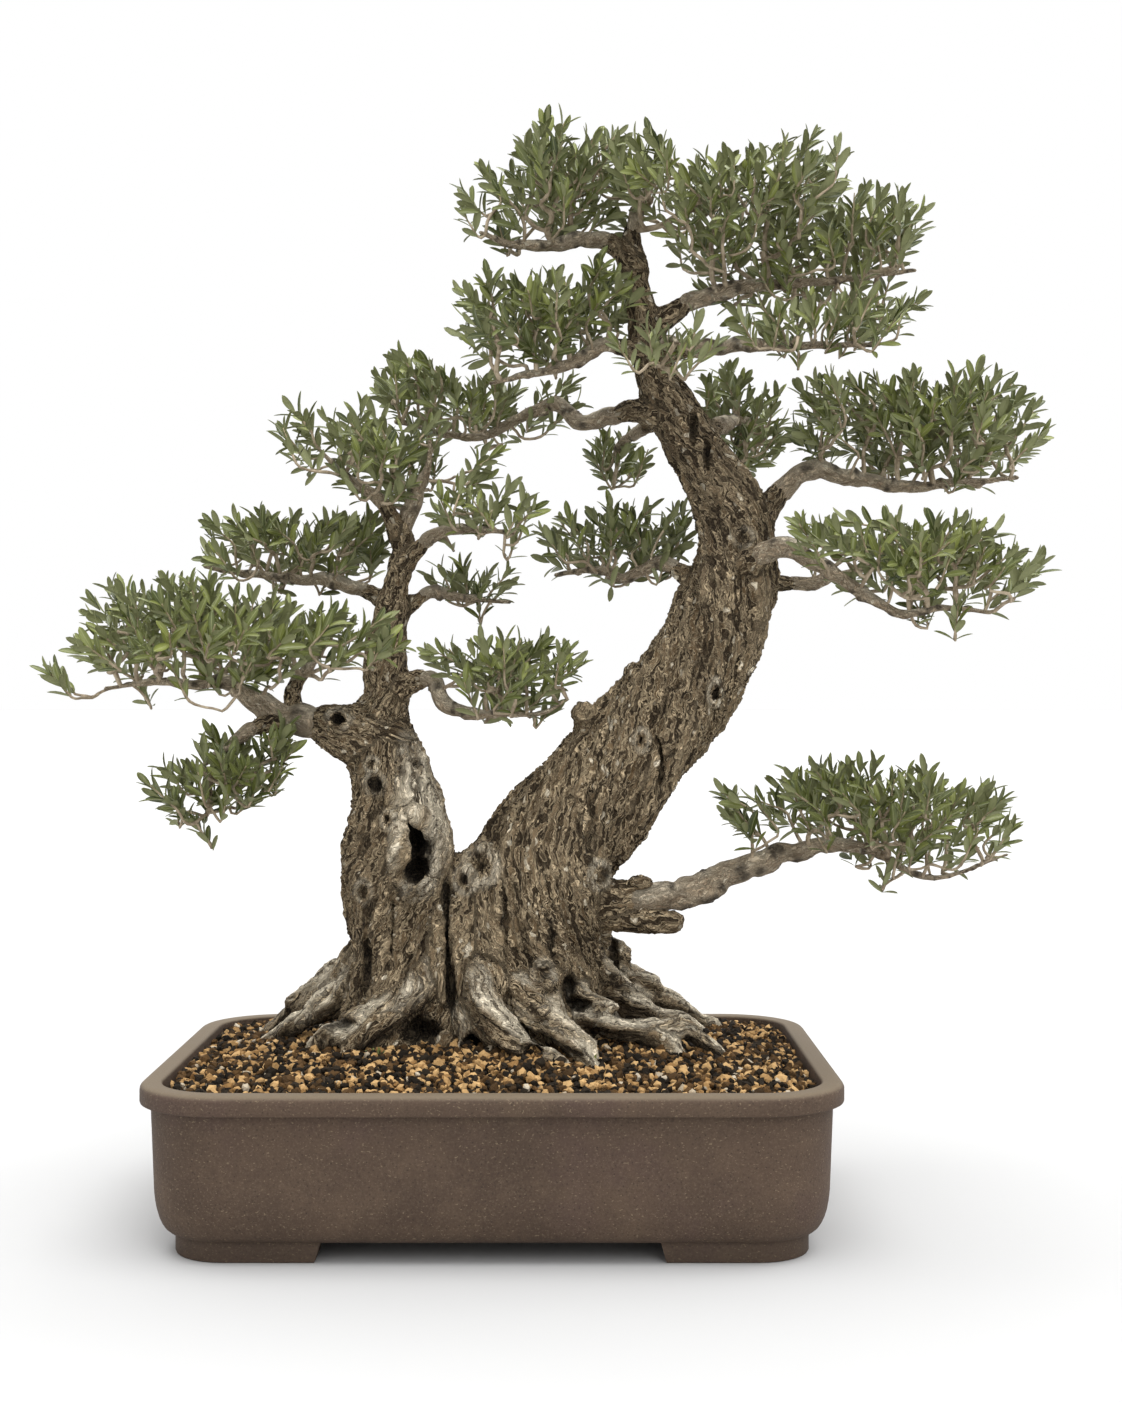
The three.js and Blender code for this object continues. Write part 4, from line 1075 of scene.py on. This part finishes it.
CLOUDS = {
    "low_right": ["low_right"], "right_mid": ["right_mid_front", "right_mid_back"],
    "right_high": ["right_high"],
    "mid_left": ["mid_left"], "back_right": ["back_right"], "back_left": ["back_left"],
    "crown_front": ["crown_front"], "crown_right_low": ["crown_right"],
    "crown_right": ["top_right", "apex"],
    "apex": ["apex", "top_right"], "apex_left": ["apex_left", "apex"],
    "upper_left_high": ["upper_left_high"],
    "upper_left_low": ["upper_left_low"], "left_big": ["left_big", "left_big_up"],
    "left_lower": ["left_lower"],
    "left_right_low": ["left_right_low"], "left_second": ["left_second"],
    "left_small_right": ["left_small_right"],
    "left_top_right": ["left_top_right"], "left_top": ["left_top_left", "left_top_mid"],
}
LOBES = {
    "low_right": [
        [159, -12, 158, 24, 42, 24], [210, -10, 167, 38, 58, 32], [258, -10, 156, 42, 64, 40],
        [304, -8, 149, 32, 54, 35], [330, -8, 135, 19, 34, 21],
    ],
    "right_mid": [
        [202, -48, 328, 27, 54, 22], [242, -70, 317, 35, 72, 29], [280, -76, 313, 35, 70, 34],
        [315, -72, 310, 22, 50, 23],
    ],
    "right_high": [
        [216, 5, 413, 30, 52, 33], [264, 20, 410, 39, 68, 40], [305, 15, 411, 39, 68, 40],
        [340, 20, 403, 28, 48, 34],
    ],
    "mid_left": [[43, 52, 334, 29, 46, 25], [83, 50, 339, 32, 56, 29], [117, 48, 336, 19, 42, 29]],
    "back_right": [[158, 118, 445, 23, 50, 27], [180, 124, 423, 27, 56, 34]],
    "back_left": [[68, 88, 403, 17, 34, 17], [88, 96, 401, 19, 42, 20]],
    "crown_front": [[89, -76, 447, 23, 42, 20], [123, -78, 452, 22, 42, 17]],
    "crown_right_low": [[181, -42, 466, 36, 40, 20], [226, -46, 469, 34, 40, 22]],
    "crown_right": [
        [246, 26, 539, 38, 66, 33], [201, 20, 513, 45, 76, 30], [252, 22, 495, 35, 56, 25],
        [161, 34, 503, 33, 52, 23],
    ],
    "apex": [[97, -25, 555, 32, 58, 37], [146, 10, 548, 39, 72, 40], [189, 0, 558, 39, 68, 38]],
    "apex_left": [[-3, -12, 549, 28, 48, 26], [34, -5, 567, 32, 62, 39], [68, 5, 571, 27, 58, 32]],
    "upper_left_high": [[-4, -22, 470, 32, 52, 32], [35, -22, 473, 38, 68, 32], [70, -8, 489, 28, 52, 27]],
    "upper_left_low": [[-57, 52, 437, 30, 54, 31], [-15, 54, 429, 38, 64, 26], [35, 50, 432, 32, 50, 21]],
    "left_big": [
        [-267, -30, 235, 30, 50, 26], [-233, -32, 266, 33, 72, 42], [-195, -28, 273, 39, 86, 40],
        [-153, -20, 271, 38, 84, 34], [-109, -20, 269, 34, 64, 28], [-69, -54, 269, 20, 36, 21],
    ],
    "left_lower": [
        [-194, -38, 171, 28, 40, 28], [-164, -34, 186, 31, 48, 28], [-143, -28, 196, 23, 42, 25],
    ],
    "left_right_low": [[-38, -24, 252, 22, 36, 23], [3, -32, 244, 32, 54, 32], [40, -38, 245, 23, 42, 28]],
    "left_second": [[-183, 44, 331, 28, 50, 26], [-144, 44, 333, 35, 66, 28], [-100, 38, 334, 33, 58, 28]],
    "left_small_right": [[-31, 36, 308, 24, 38, 23], [-2, 40, 305, 23, 34, 21]],
    "left_top_right": [[-23, -28, 350, 25, 38, 24], [9, -34, 348, 22, 36, 23]],
    "left_top": [
        [-125, 0, 398, 27, 46, 25], [-94, 0, 388, 32, 64, 36], [-55, 0, 388, 36, 64, 32],
        [-14, -5, 381, 26, 48, 24],
    ],
}
SHOOT_SPACING = 14.8
SHOOT_LENGTH = (19, 28)
PAIRS_PER_SHOOT = (4, 7)
LEAF_LENGTH = (13.4, 17.6)
# Only a share of the shoots may start below their branch, so that it shows from the front. Some
# pads droop, or hang so close to their branch that more of them stay.
FRONT_CLEARANCE, BACK_CLEARANCE = 19, 5
HANGING_SHARE = 0.24
MORE_HANGING = {
    "left_lower": 1.0, "back_left": 1.0, "back_right": 1.0,
    "crown_right_low": 0.7, "crown_front": 0.7, "left_top_right": 0.7,
}
LEAF_REACH = np.array([5.5, 8.0, 8.5])


def inside_lobes(points, lobes):
    """The smallest scaled distance to any lobe's middle: 1 on the skin of the cloud."""
    return np.min([scaled_distance(points, lobe[:3], lobe[3:]) for lobe in lobes], axis=0)


def shoot_tips(lobes, taken, rng):
    """Places for shoot tips: spread through the cloud, denser towards its top, off other clouds."""
    chosen = np.zeros((0, 3))
    lobes = lobes.copy()
    lobes[:, 3:] = np.maximum(lobes[:, 3:] - LEAF_REACH, 4.5)
    lobes[:, 2] += 2.5
    low = (lobes[:, :3] - lobes[:, 3:]).min(0)
    high = (lobes[:, :3] + lobes[:, 3:]).max(0)
    tries = rng.uniform(low, high, (9000, 3))
    depth = inside_lobes(tries, lobes)
    lift = (tries[:, 2] - low[2]) / (high[2] - low[2])
    keep = (depth < 1.0 + 0.22 * rng.random(len(tries)) ** 3) & (rng.random(len(tries)) < 0.3 + 0.7 * lift)
    keep &= (depth > 0.5) | (lift > 0.5)
    free = np.ones(len(tries), bool)
    for tip in taken:
        free &= ((tries - tip) ** 2).sum(1) > (SHOOT_SPACING * 0.95) ** 2
    keep &= free
    tries, lift = tries[keep], lift[keep]
    for point, rise in zip(tries, lift):
        spacing = SHOOT_SPACING * (1.35 - 0.35 * rise)
        if not len(chosen) or np.linalg.norm(chosen - point, axis=1).min() > spacing:
            chosen = np.concatenate([chosen, [point]])
    return chosen


def grow(paths, tips, middle, rng):
    """Joins each tip to the wood by the shortest way that doesn't make its own path long."""
    nodes, parents, cost = [], [], []
    for points, _ in paths:
        for index in range(max(4, len(points) // 6), len(points), 3):
            nodes.append(points[index])
            parents.append(-1)
            cost.append((len(points) - index) * 0.10)
    ends = []
    directions = []
    wood_points = np.array(nodes)
    order = np.argsort([np.linalg.norm(wood_points - tip, axis=1).min() for tip in tips])
    for tip in tips[order]:
        outward = tip - middle
        outward /= np.linalg.norm(outward) + 1e-6
        aim = outward * [0.75, 0.75, 0.35] + [0, 0, 0.62] + rng.normal(0, 0.22, 3)
        aim /= np.linalg.norm(aim)
        base = tip - aim * rng.uniform(*SHOOT_LENGTH)
        there = np.array(nodes)
        away = np.linalg.norm(there - base, axis=1)
        rising = np.clip(there[:, 2] - base[2], 0, None)
        parent = int(np.argmin(away + 0.32 * np.array(cost) + 0.7 * rising))
        start = there[parent]
        span = np.linalg.norm(base - start)
        steps = max(1, int(span / 7))
        bend = rng.normal(0, 0.07, 3) * span + [0, 0, -0.07 * span]
        previous = parent
        for step in range(1, steps + 1):
            t = step / steps
            jog = rng.normal(0, 0.7, 3) if step < steps else 0
            nodes.append(start + (base - start) * t + bend * math.sin(math.pi * t) + jog)
            parents.append(previous)
            cost.append(cost[previous] + span / steps)
            previous = len(nodes) - 1
        ends.append(previous)
        directions.append((base, tip, aim))
    return np.array(nodes), np.array(parents), ends, directions


def leaf_template():
    """One leaf of unit length along +X, folded at its midrib: a thin closed blade."""
    t = np.array([0, 0.1, 0.28, 0.5, 0.72, 0.9, 1.0])
    width = 0.143 * np.array([0.13, 0.34, 0.78, 1.0, 0.95, 0.62, 0.10])
    curve = 0.03 * np.sin(math.pi * t) - 0.03 * t**2
    rows = []
    for layer in (0.0065, -0.0065):
        for side in (-1, 0, 1):
            lift = 0.30 * abs(side) * width
            thin = layer * (1 if side == 0 else 0.35)
            rows.append(np.stack([t, side * width, curve + lift + thin], -1))
    points = np.concatenate(rows)
    n = len(t)

    def row(layer, side):
        return (layer * 3 + side) * n

    faces, under = [], []
    for k in range(n - 1):
        for side in (0, 1):
            a, b = row(0, side) + k, row(0, side + 1) + k
            faces.append([a, a + 1, b + 1, b])
            under.append(0)
            a, b = row(1, side) + k, row(1, side + 1) + k
            faces.append([b, b + 1, a + 1, a])
            under.append(1)
        for side, flip in ((0, False), (2, True)):
            a, b = row(0, side) + k, row(1, side) + k
            faces.append([a, b, b + 1, a + 1] if flip else [b, a, a + 1, b + 1])
            under.append(1)
    for k, flip in ((0, False), (n - 1, True)):
        loop = [row(0, 0) + k, row(0, 1) + k, row(0, 2) + k]
        below = [row(1, 0) + k, row(1, 1) + k, row(1, 2) + k]
        for s in (0, 1):
            quad = [loop[s], loop[s + 1], below[s + 1], below[s]]
            faces.append(quad if not flip else quad[::-1])
            under.append(1)
    sides = np.concatenate([np.full(n, s) for _ in (0, 1) for s in (-1.0, 0.0, 1.0)])
    place = np.stack([points[:, 0], sides], -1)
    return points, np.array(faces), np.array(under, float), place


LEAF_POINTS, LEAF_FACES, LEAF_UNDER, LEAF_PLACE = leaf_template()


def place_leaves(directions, rng):
    """Opposite pairs of leaves up each shoot: base, direction, face normal, length and tone."""
    bases, ways, ups, sizes, tones = [], [], [], [], []
    for base, tip, aim in directions:
        side = np.cross(aim, rng.normal(0, 1, 3))
        side /= np.linalg.norm(side)
        other = np.cross(aim, side)
        pairs = rng.integers(*PAIRS_PER_SHOOT)
        shoot_tone = rng.normal(0, 0.5)
        shoot_size = rng.uniform(0.85, 1.12)
        for pair in range(pairs):
            t = (pair + 0.35) / pairs
            spot = base + (tip - base) * (t * 0.98 - 0.05)
            turn = pair * math.pi / 2 + rng.normal(0, 0.22)
            radial = side * math.cos(turn) + other * math.sin(turn)
            spread = math.radians(np.interp(t, [0, 1], [54, 20]) + rng.normal(0, 8))
            for sign in (-1, 1):
                if rng.random() < 0.06:
                    continue
                way = aim * math.cos(spread) + radial * sign * math.sin(spread) + rng.normal(0, 0.08, 3)
                way /= np.linalg.norm(way)
                up = aim * math.sin(spread) - radial * sign * math.cos(spread)
                up = up + [0, 0, 0.18] + rng.normal(0, 0.42, 3)
                up -= way * (up @ way)
                bases.append(spot)
                ways.append(way)
                ups.append(up / np.linalg.norm(up))
                length = shoot_size * rng.uniform(*LEAF_LENGTH)
                sizes.append(length * np.interp(t, [0, 0.35, 1], [0.8, 1.05, 0.88]))
                tones.append(shoot_tone * 0.5 + rng.normal(0, 0.5))
    return [np.array(a) for a in (bases, ways, ups, sizes, tones)]


def build_leaves(name, directions, rng, scale=1.0):
    """One mesh with every leaf of a pad."""
    bases, ways, ups, sizes, tones = place_leaves(directions, rng)
    sizes = sizes * scale
    sides = np.cross(ups, ways)
    curl = rng.normal(0, 0.05, len(bases))
    width = rng.uniform(0.88, 1.15, len(bases))
    local = np.repeat(LEAF_POINTS[None], len(bases), 0)
    local[:, :, 1] *= width[:, None]
    local[:, :, 2] += curl[:, None] * local[:, :, 0] ** 2
    points = bases[:, None] + sizes[:, None, None] * (
        local[:, :, :1] * ways[:, None] + local[:, :, 1:2] * sides[:, None] + local[:, :, 2:] * ups[:, None])
    count = len(LEAF_POINTS)
    faces = (LEAF_FACES[None] + (np.arange(len(bases)) * count)[:, None, None]).reshape(-1, 4)
    piece = new_piece("leaves_" + name, points.reshape(-1, 3), faces)
    set_attribute(piece, "under", np.tile(LEAF_UNDER, len(bases)), "FACE")
    set_attribute(piece, "tone", np.repeat(tones, len(LEAF_FACES)), "FACE")
    place = np.tile(LEAF_PLACE, (len(bases), 1))
    set_attribute(piece, "blade", np.column_stack([place, np.zeros(len(place))]))
    return piece


TWIG_SIDES = 6


def build_twigs(name, nodes, parents, ends, directions):
    """Round twigs that thicken towards the branch as more shoots hang on them."""
    load = np.zeros(len(nodes))
    for end in ends:
        while end >= 0:
            load[end] += 1
            end = parents[end]
    children = {}
    for index, parent in enumerate(parents):
        if parent >= 0:
            children.setdefault(parent, []).append(index)
    radius = 0.50 + 0.36 * np.power(load, 0.5)
    runs = []
    starts = [(p, c) for p, kids in children.items() for c in kids
              if parents[p] < 0 or c != max(kids, key=lambda k: load[k])]
    shoot_of = dict(zip(ends, directions))
    for parent, child in starts:
        chain = [parent, child]
        while chain[-1] in children:
            chain.append(max(children[chain[-1]], key=lambda k: load[k]))
        run = nodes[chain]
        thick = radius[chain]
        thick[0] = thick[1]
        if chain[-1] in shoot_of:
            base, tip, _ = shoot_of[chain[-1]]
            run = np.concatenate([run, [base + (tip - base) * 0.55, base + (tip - base) * 0.97]])
            thick = np.concatenate([thick, [0.62, 0.38]])
        runs.append((run, thick))
    points, quads, fans, grain, tender = [], [], [], [], []
    start = 0
    sides = TWIG_SIDES
    for number, (run, thick) in enumerate(runs):
        path, radii, along = smooth_path(np.column_stack([run, thick]), 4.0)
        radii = np.maximum(radii, 0.34)
        nodes_bump = 1 + 0.16 * np.cos(along * 0.9 + number) ** 8
        rings, section = tube(path, radii * nodes_bump, sides)
        body = np.concatenate([rings.reshape(-1, 3), rings[:1].mean(1), rings[-1:].mean(1)])
        quad, fan = sweep_faces(len(path), sides, start)
        points.append(body)
        quads.append(quad)
        fans.append(fan)
        straight = np.column_stack([section.reshape(-1, 3)[:, :2], np.repeat(along + number * 53, sides)])
        grain.append(np.concatenate([straight, straight[[0, -1]]]))
        young = np.repeat(np.interp(radii, [0.4, 0.9], [1, 0]), sides)
        tender.append(np.concatenate([young, young[[0, -1]]]))
        start += len(body)
    faces = [np.concatenate(quads), np.concatenate(fans)]
    piece = new_piece("twigs_" + name, np.concatenate(points), faces)
    set_attribute(piece, "grain", np.concatenate(grain) / 1000)
    set_attribute(piece, "tender", np.concatenate(tender))
    return piece


leaf_pieces, twig_pieces = [], []
taken_tips = []
for number, (name, branches) in enumerate(CLOUDS.items()):
    rng = np.random.default_rng(1000 + number)
    lobes = np.array(LOBES[name], float)
    lobes[:, 2] += SOIL_Z
    tips = shoot_tips(lobes, taken_tips, rng)
    wood_below = np.concatenate([branch_paths[b][0] for b in branches])
    nearest = np.linalg.norm(tips[:, None, :2] - wood_below[None, :, :2], axis=2).argmin(1)
    hanging = MORE_HANGING.get(name, HANGING_SHARE)
    in_front = tips[:, 1] < wood_below[nearest, 1] + 6
    clear = np.where(in_front, FRONT_CLEARANCE, BACK_CLEARANCE)
    tips = tips[(tips[:, 2] > wood_below[nearest, 2] + clear) | (rng.random(len(tips)) < hanging)]
    taken_tips += list(tips)
    middle = lobes[:, :3].mean(0) - [0, 0, 18]
    nodes, parents, ends, directions = grow([branch_paths[b] for b in branches], tips, middle, rng)
    leaves = build_leaves(name, directions, rng)
    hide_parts("foliage_" + name)
    leaf_pieces.append(leaves)
    twig_pieces.append(build_twigs(name, nodes, parents, ends, directions))
rng = np.random.default_rng(8)
sprouts = []
for x, y in ((64, -70), (61, -67), (-74, -46), (-71, -48)):
    base = np.array([x, y, SOIL_Z + 5.0])
    aim = np.array([rng.normal(0, 0.35), -0.35, 1.0])
    aim /= np.linalg.norm(aim)
    sprouts.append((base, base + aim * 7, aim))
leaf_pieces.append(build_leaves("of_two_sprigs", sprouts, rng, 0.42))

leaf = Surface("olive_leaf")
under = leaf.attribute("under")
tone = leaf.attribute("tone")
blade = leaf.attribute("blade", vector=True)
along_leaf = leaf.node("SeparateXYZ", {0: blade}, output=0)
across_leaf = leaf.node("SeparateXYZ", {0: blade}, output=1).math("ABSOLUTE")
mottle = leaf.noise(240, 3, 0.6)
patch = leaf.noise(22, 3, 0.5)
shade = tone * 0.22 + 0.5 + (patch - 0.5) * 0.5
top = leaf.mix(shade.between(0.1, 0.9), (0.036, 0.050, 0.011), (0.235, 0.262, 0.066))
top = leaf.mix(mottle.between(0.5, 0.8) * 0.3, top, (0.28, 0.31, 0.10))
top = leaf.mix(across_leaf.between(0.16, 0.02) * 0.55, top, (0.34, 0.36, 0.16))
below = leaf.mix(mottle, (0.190, 0.205, 0.088), (0.285, 0.300, 0.145))
leaf_color = leaf.mix(under, top, below)
leaf_color = leaf.mix(along_leaf.between(0.12, 0.0) * 0.4, leaf_color, (0.22, 0.19, 0.10))
leaf_bump = leaf.bump(mottle * 0.4 + across_leaf.between(0.0, 0.15) * 0.6, 0.0004, 0.5)
leaf.finish(leaf_pieces, leaf_color, 0.30 + under * 0.32 + mottle * 0.12, leaf_bump, Specular_IOR_Level=0.5)

shoot = Surface("twig_bark")
shoot_grain = shoot.attribute("grain", vector=True)
shoot_noise = shoot.noise(300, 4, 0.65, vector=shoot.stretch(shoot_grain, 1, 1, 0.4))
shoot_band = shoot.noise(160, 3, 0.6)
shoot_color = shoot.mix(shoot_noise.between(0.3, 0.7), (0.210, 0.160, 0.105), (0.52, 0.43, 0.31))
shoot_color = shoot.mix(shoot_band.between(0.55, 0.75) * 0.5, shoot_color, (0.085, 0.060, 0.038))
shoot_color = shoot.mix(shoot.attribute("tender") * 0.55, shoot_color, (0.24, 0.20, 0.10))
shoot.finish(twig_pieces, shoot_color, 0.8, shoot.bump(shoot_noise, 0.0006, 0.6), Specular_IOR_Level=0.25)


# ---------------------------------------------------------------- soil
# A free-draining mix of sieved grains a few millimetres across: fired tan clay, brown and
# near-black lava and a few pale bits of pumice, heaped a little towards the trunks.

SOIL_INSET = LIP_OVERHANG + POT_WALL + 0.3
SOIL_MOUND = 12.0
MOUND_SHARES, MOUND_RISES = [0, 0.2, 0.45, 0.7, 0.9, 1.0], [1, 1, 0.85, 0.55, 0.2, 0]


def mound_height(x, y):
    """The soil's surface above its level at the pot's wall."""
    half_x, half_y = HALF_LENGTH - SOIL_INSET - BODY_TAPER, HALF_DEPTH - SOIL_INSET - BODY_TAPER
    share = (np.abs(x / half_x) ** 5 + np.abs(y / half_y) ** 5) ** 0.2
    return np.interp(share, MOUND_SHARES, MOUND_RISES) * SOIL_MOUND, share


floor_z = FOOT_HEIGHT + FLOOR_THICKNESS
soil_rings = []
for extra, z in ((FLOOR_FILLET, 0.3), (FLOOR_FILLET * 0.3, FLOOR_FILLET * 0.3), (0, FLOOR_FILLET)):
    soil_rings.append(rounded_outline(SOIL_INSET + BODY_TAPER + extra, floor_z + z))
edge_ring = rounded_outline(SOIL_INSET + BODY_TAPER, SOIL_Z - 2.5)
soil_rings.append(edge_ring)
for share, rise in zip(MOUND_SHARES[-2:0:-1], MOUND_RISES[-2:0:-1]):
    soil_rings.append(edge_ring * [share, share, 1] + [0, 0, rise * SOIL_MOUND])
soil_points, soil_faces = loft(soil_rings)
soil_bed = new_piece("soil_bed", soil_points, soil_faces, crease=60)
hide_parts("soil")

rng = np.random.default_rng(77)
GRAIN_COUNT = 12500
golden = (1 + 5**0.5) / 2
corners = np.array([[s, t * golden, 0] for s in (-1, 1) for t in (-1, 1)])
ball = np.concatenate([corners, corners[:, [2, 0, 1]], corners[:, [1, 2, 0]]])
ball /= np.linalg.norm(ball[0])
edges = np.linalg.norm(ball[:, None] - ball[None], axis=2)
LONGEST_EDGE = 1.06
triples = np.array([
    (i, j, k) for i in range(12) for j in range(i + 1, 12) for k in range(j + 1, 12)
    if max(edges[i, j], edges[j, k], edges[i, k]) < LONGEST_EDGE
])
first, second, third = (ball[triples[:, k]] for k in range(3))
facing = np.einsum("ij,ij->i", np.cross(second - first, third - first), ball[triples].mean(1))
triples[facing < 0] = triples[facing < 0][:, ::-1]
spread = rng.uniform(-1, 1, (GRAIN_COUNT * 2, 2)) * [HALF_LENGTH - SOIL_INSET, HALF_DEPTH - SOIL_INSET]
rise, share = mound_height(*spread.T)
corner = RIM_CORNER - SOIL_INSET
over = np.abs(spread) - [HALF_LENGTH - SOIL_INSET - corner, HALF_DEPTH - SOIL_INSET - corner]
to_wall = corner - np.linalg.norm(np.maximum(over, 0), axis=1) - np.minimum(over.max(1), 0)
to_right = np.hypot(spread[:, 0] - 16, spread[:, 1] - 12) - 44
to_left = np.hypot(spread[:, 0] + 64, spread[:, 1]) - 30
to_trunk = np.minimum(to_right, to_left)
keep = np.flatnonzero((to_wall > 2.4) & (to_trunk > 0))[:GRAIN_COUNT]
spread, rise = spread[keep], rise[keep]
size = np.clip(rng.lognormal(math.log(2.3), 0.24, len(keep)), 1.3, 3.9)
middle = np.column_stack([spread, SOIL_Z + 0.2 + rise + rng.uniform(-2.6, 1.6, len(keep))])
shape = ball[None] * rng.uniform(0.70, 1.20, (len(keep), 12, 1)) * rng.uniform(0.62, 1.35, (len(keep), 1, 3))
axis = rng.normal(0, 1, (len(keep), 4))
w, x, y, z = (axis / np.linalg.norm(axis, axis=1, keepdims=True)).T
turn = np.stack([
    1 - 2 * (y * y + z * z), 2 * (x * y - z * w), 2 * (x * z + y * w),
    2 * (x * y + z * w), 1 - 2 * (x * x + z * z), 2 * (y * z - x * w),
    2 * (x * z - y * w), 2 * (y * z + x * w), 1 - 2 * (x * x + y * y),
], -1).reshape(-1, 3, 3)
grains = middle[:, None] + np.einsum("nij,nkj->nki", turn, shape) * size[:, None, None]
grain_faces = (triples[None] + (np.arange(len(keep)) * 12)[:, None, None]).reshape(-1, 3)
soil_grains = new_piece("soil_grains", grains.reshape(-1, 3), grain_faces, smooth=False)
set_attribute(soil_grains, "kind", np.repeat(rng.random(len(keep)), 20), "FACE")
set_attribute(soil_grains, "shade", np.repeat(rng.random(len(keep)), 20), "FACE")

gravel = Surface("soil_mix")
kind = gravel.attribute("kind")
shade = gravel.attribute("shade")
pores = gravel.noise(900, 4, 0.7)
tan = gravel.mix(shade, (0.27, 0.150, 0.055), (0.62, 0.400, 0.180))
brown = gravel.mix(shade, (0.034, 0.020, 0.009), (0.120, 0.066, 0.026))
black = gravel.mix(shade, (0.008, 0.006, 0.004), (0.028, 0.021, 0.014))
pumice = gravel.mix(shade, (0.45, 0.37, 0.26), (0.60, 0.52, 0.40))
grain_color = gravel.mix(kind.between(0.279, 0.281), tan, brown)
grain_color = gravel.mix(kind.between(0.589, 0.591), grain_color, black)
grain_color = gravel.mix(kind.between(0.979, 0.981), grain_color, pumice)
grain_color = gravel.mix(pores.between(0.55, 0.75) * 0.4, grain_color, (0.06, 0.04, 0.025))
gravel.finish(soil_grains, grain_color, 0.9, gravel.bump(pores, 0.0006, 0.8), Specular_IOR_Level=0.15)
earth = Surface("soil_below")
crumb = earth.cells(210)
earth_color = earth.mix(crumb, (0.012, 0.008, 0.005), (0.11, 0.07, 0.035))
earth.finish(soil_bed, earth_color, 0.95, earth.bump(crumb, 0.002, 1.0))


# ---------------------------------------------------------------- floor, light and camera
# A plain white studio floor that runs to the horizon under an even, soft light from above.

floor_mesh = bpy.data.meshes.new("studio_floor")
REACH = 60.0
floor_corners = [(x * REACH, y * REACH, 0) for x, y in ((-1, -1), (1, -1), (1, 1), (-1, 1))]
floor_mesh.from_pydata(floor_corners, [], [(0, 1, 2, 3)])
studio_floor = bpy.data.objects.new("studio_floor", floor_mesh)
bpy.context.scene.collection.objects.link(studio_floor)
paper = Surface("studio_paper")
paper_tone = paper.noise(3, 2, 0.5)
paper_color = paper.mix(paper_tone, (0.50, 0.50, 0.50), (0.505, 0.505, 0.505))
paper.finish(studio_floor, paper_color, 0.9, Specular_IOR_Level=0.0)

world = bpy.data.worlds.new("studio_air")
bpy.context.scene.world = world
world.use_nodes = True
world_tree = world.node_tree
world_tree.nodes.clear()
direction = add_node(world_tree, "TexCoord", output="Generated")
rise = add_node(world_tree, "SeparateXYZ", {0: direction}, output=2)
sky = add_node(world_tree, "Mix", {0: rise.between(0.55, 0.85), 6: (1.0, 1.0, 1.0), 7: (0.45, 0.45, 0.45)},
               output=2, data_type="RGBA")
air = add_node(world_tree, "Background", {"Color": sky, "Strength": 1.0})
add_node(world_tree, "OutputWorld", {"Surface": air})


def add_sun(name, toward, strength, angle):
    """A soft light of even strength that shines from the given direction."""
    data = bpy.data.lights.new(name, "SUN")
    data.energy = strength
    data.angle = math.radians(angle)
    light = bpy.data.objects.new(name, data)
    direction = np.array(toward, float)
    x, y, z = direction / np.linalg.norm(direction)
    light.rotation_euler = (math.acos(z), 0, math.atan2(y, x) + math.pi / 2)
    bpy.context.scene.collection.objects.link(light)


add_sun("overhead_softbox", (0.10, 0.02, 1.0), 4.4, 74)
add_sun("front_fill", (0.35, -1.0, 0.75), 0.6, 30)

# The camera looks level along +Y, from the front and a little to the right of the middle.
CAMERA_PLACE = [41, -1261, 327]
camera_data = bpy.data.cameras.new("camera")
camera_data.lens = 50
camera_data.sensor_width = 36
camera = bpy.data.objects.new("camera", camera_data)
camera.location = to_world([CAMERA_PLACE])[0]
camera.rotation_euler = (math.pi / 2, 0, 0)
bpy.context.scene.collection.objects.link(camera)
bpy.context.scene.camera = camera
bpy.context.scene.view_settings.view_transform = "Standard"
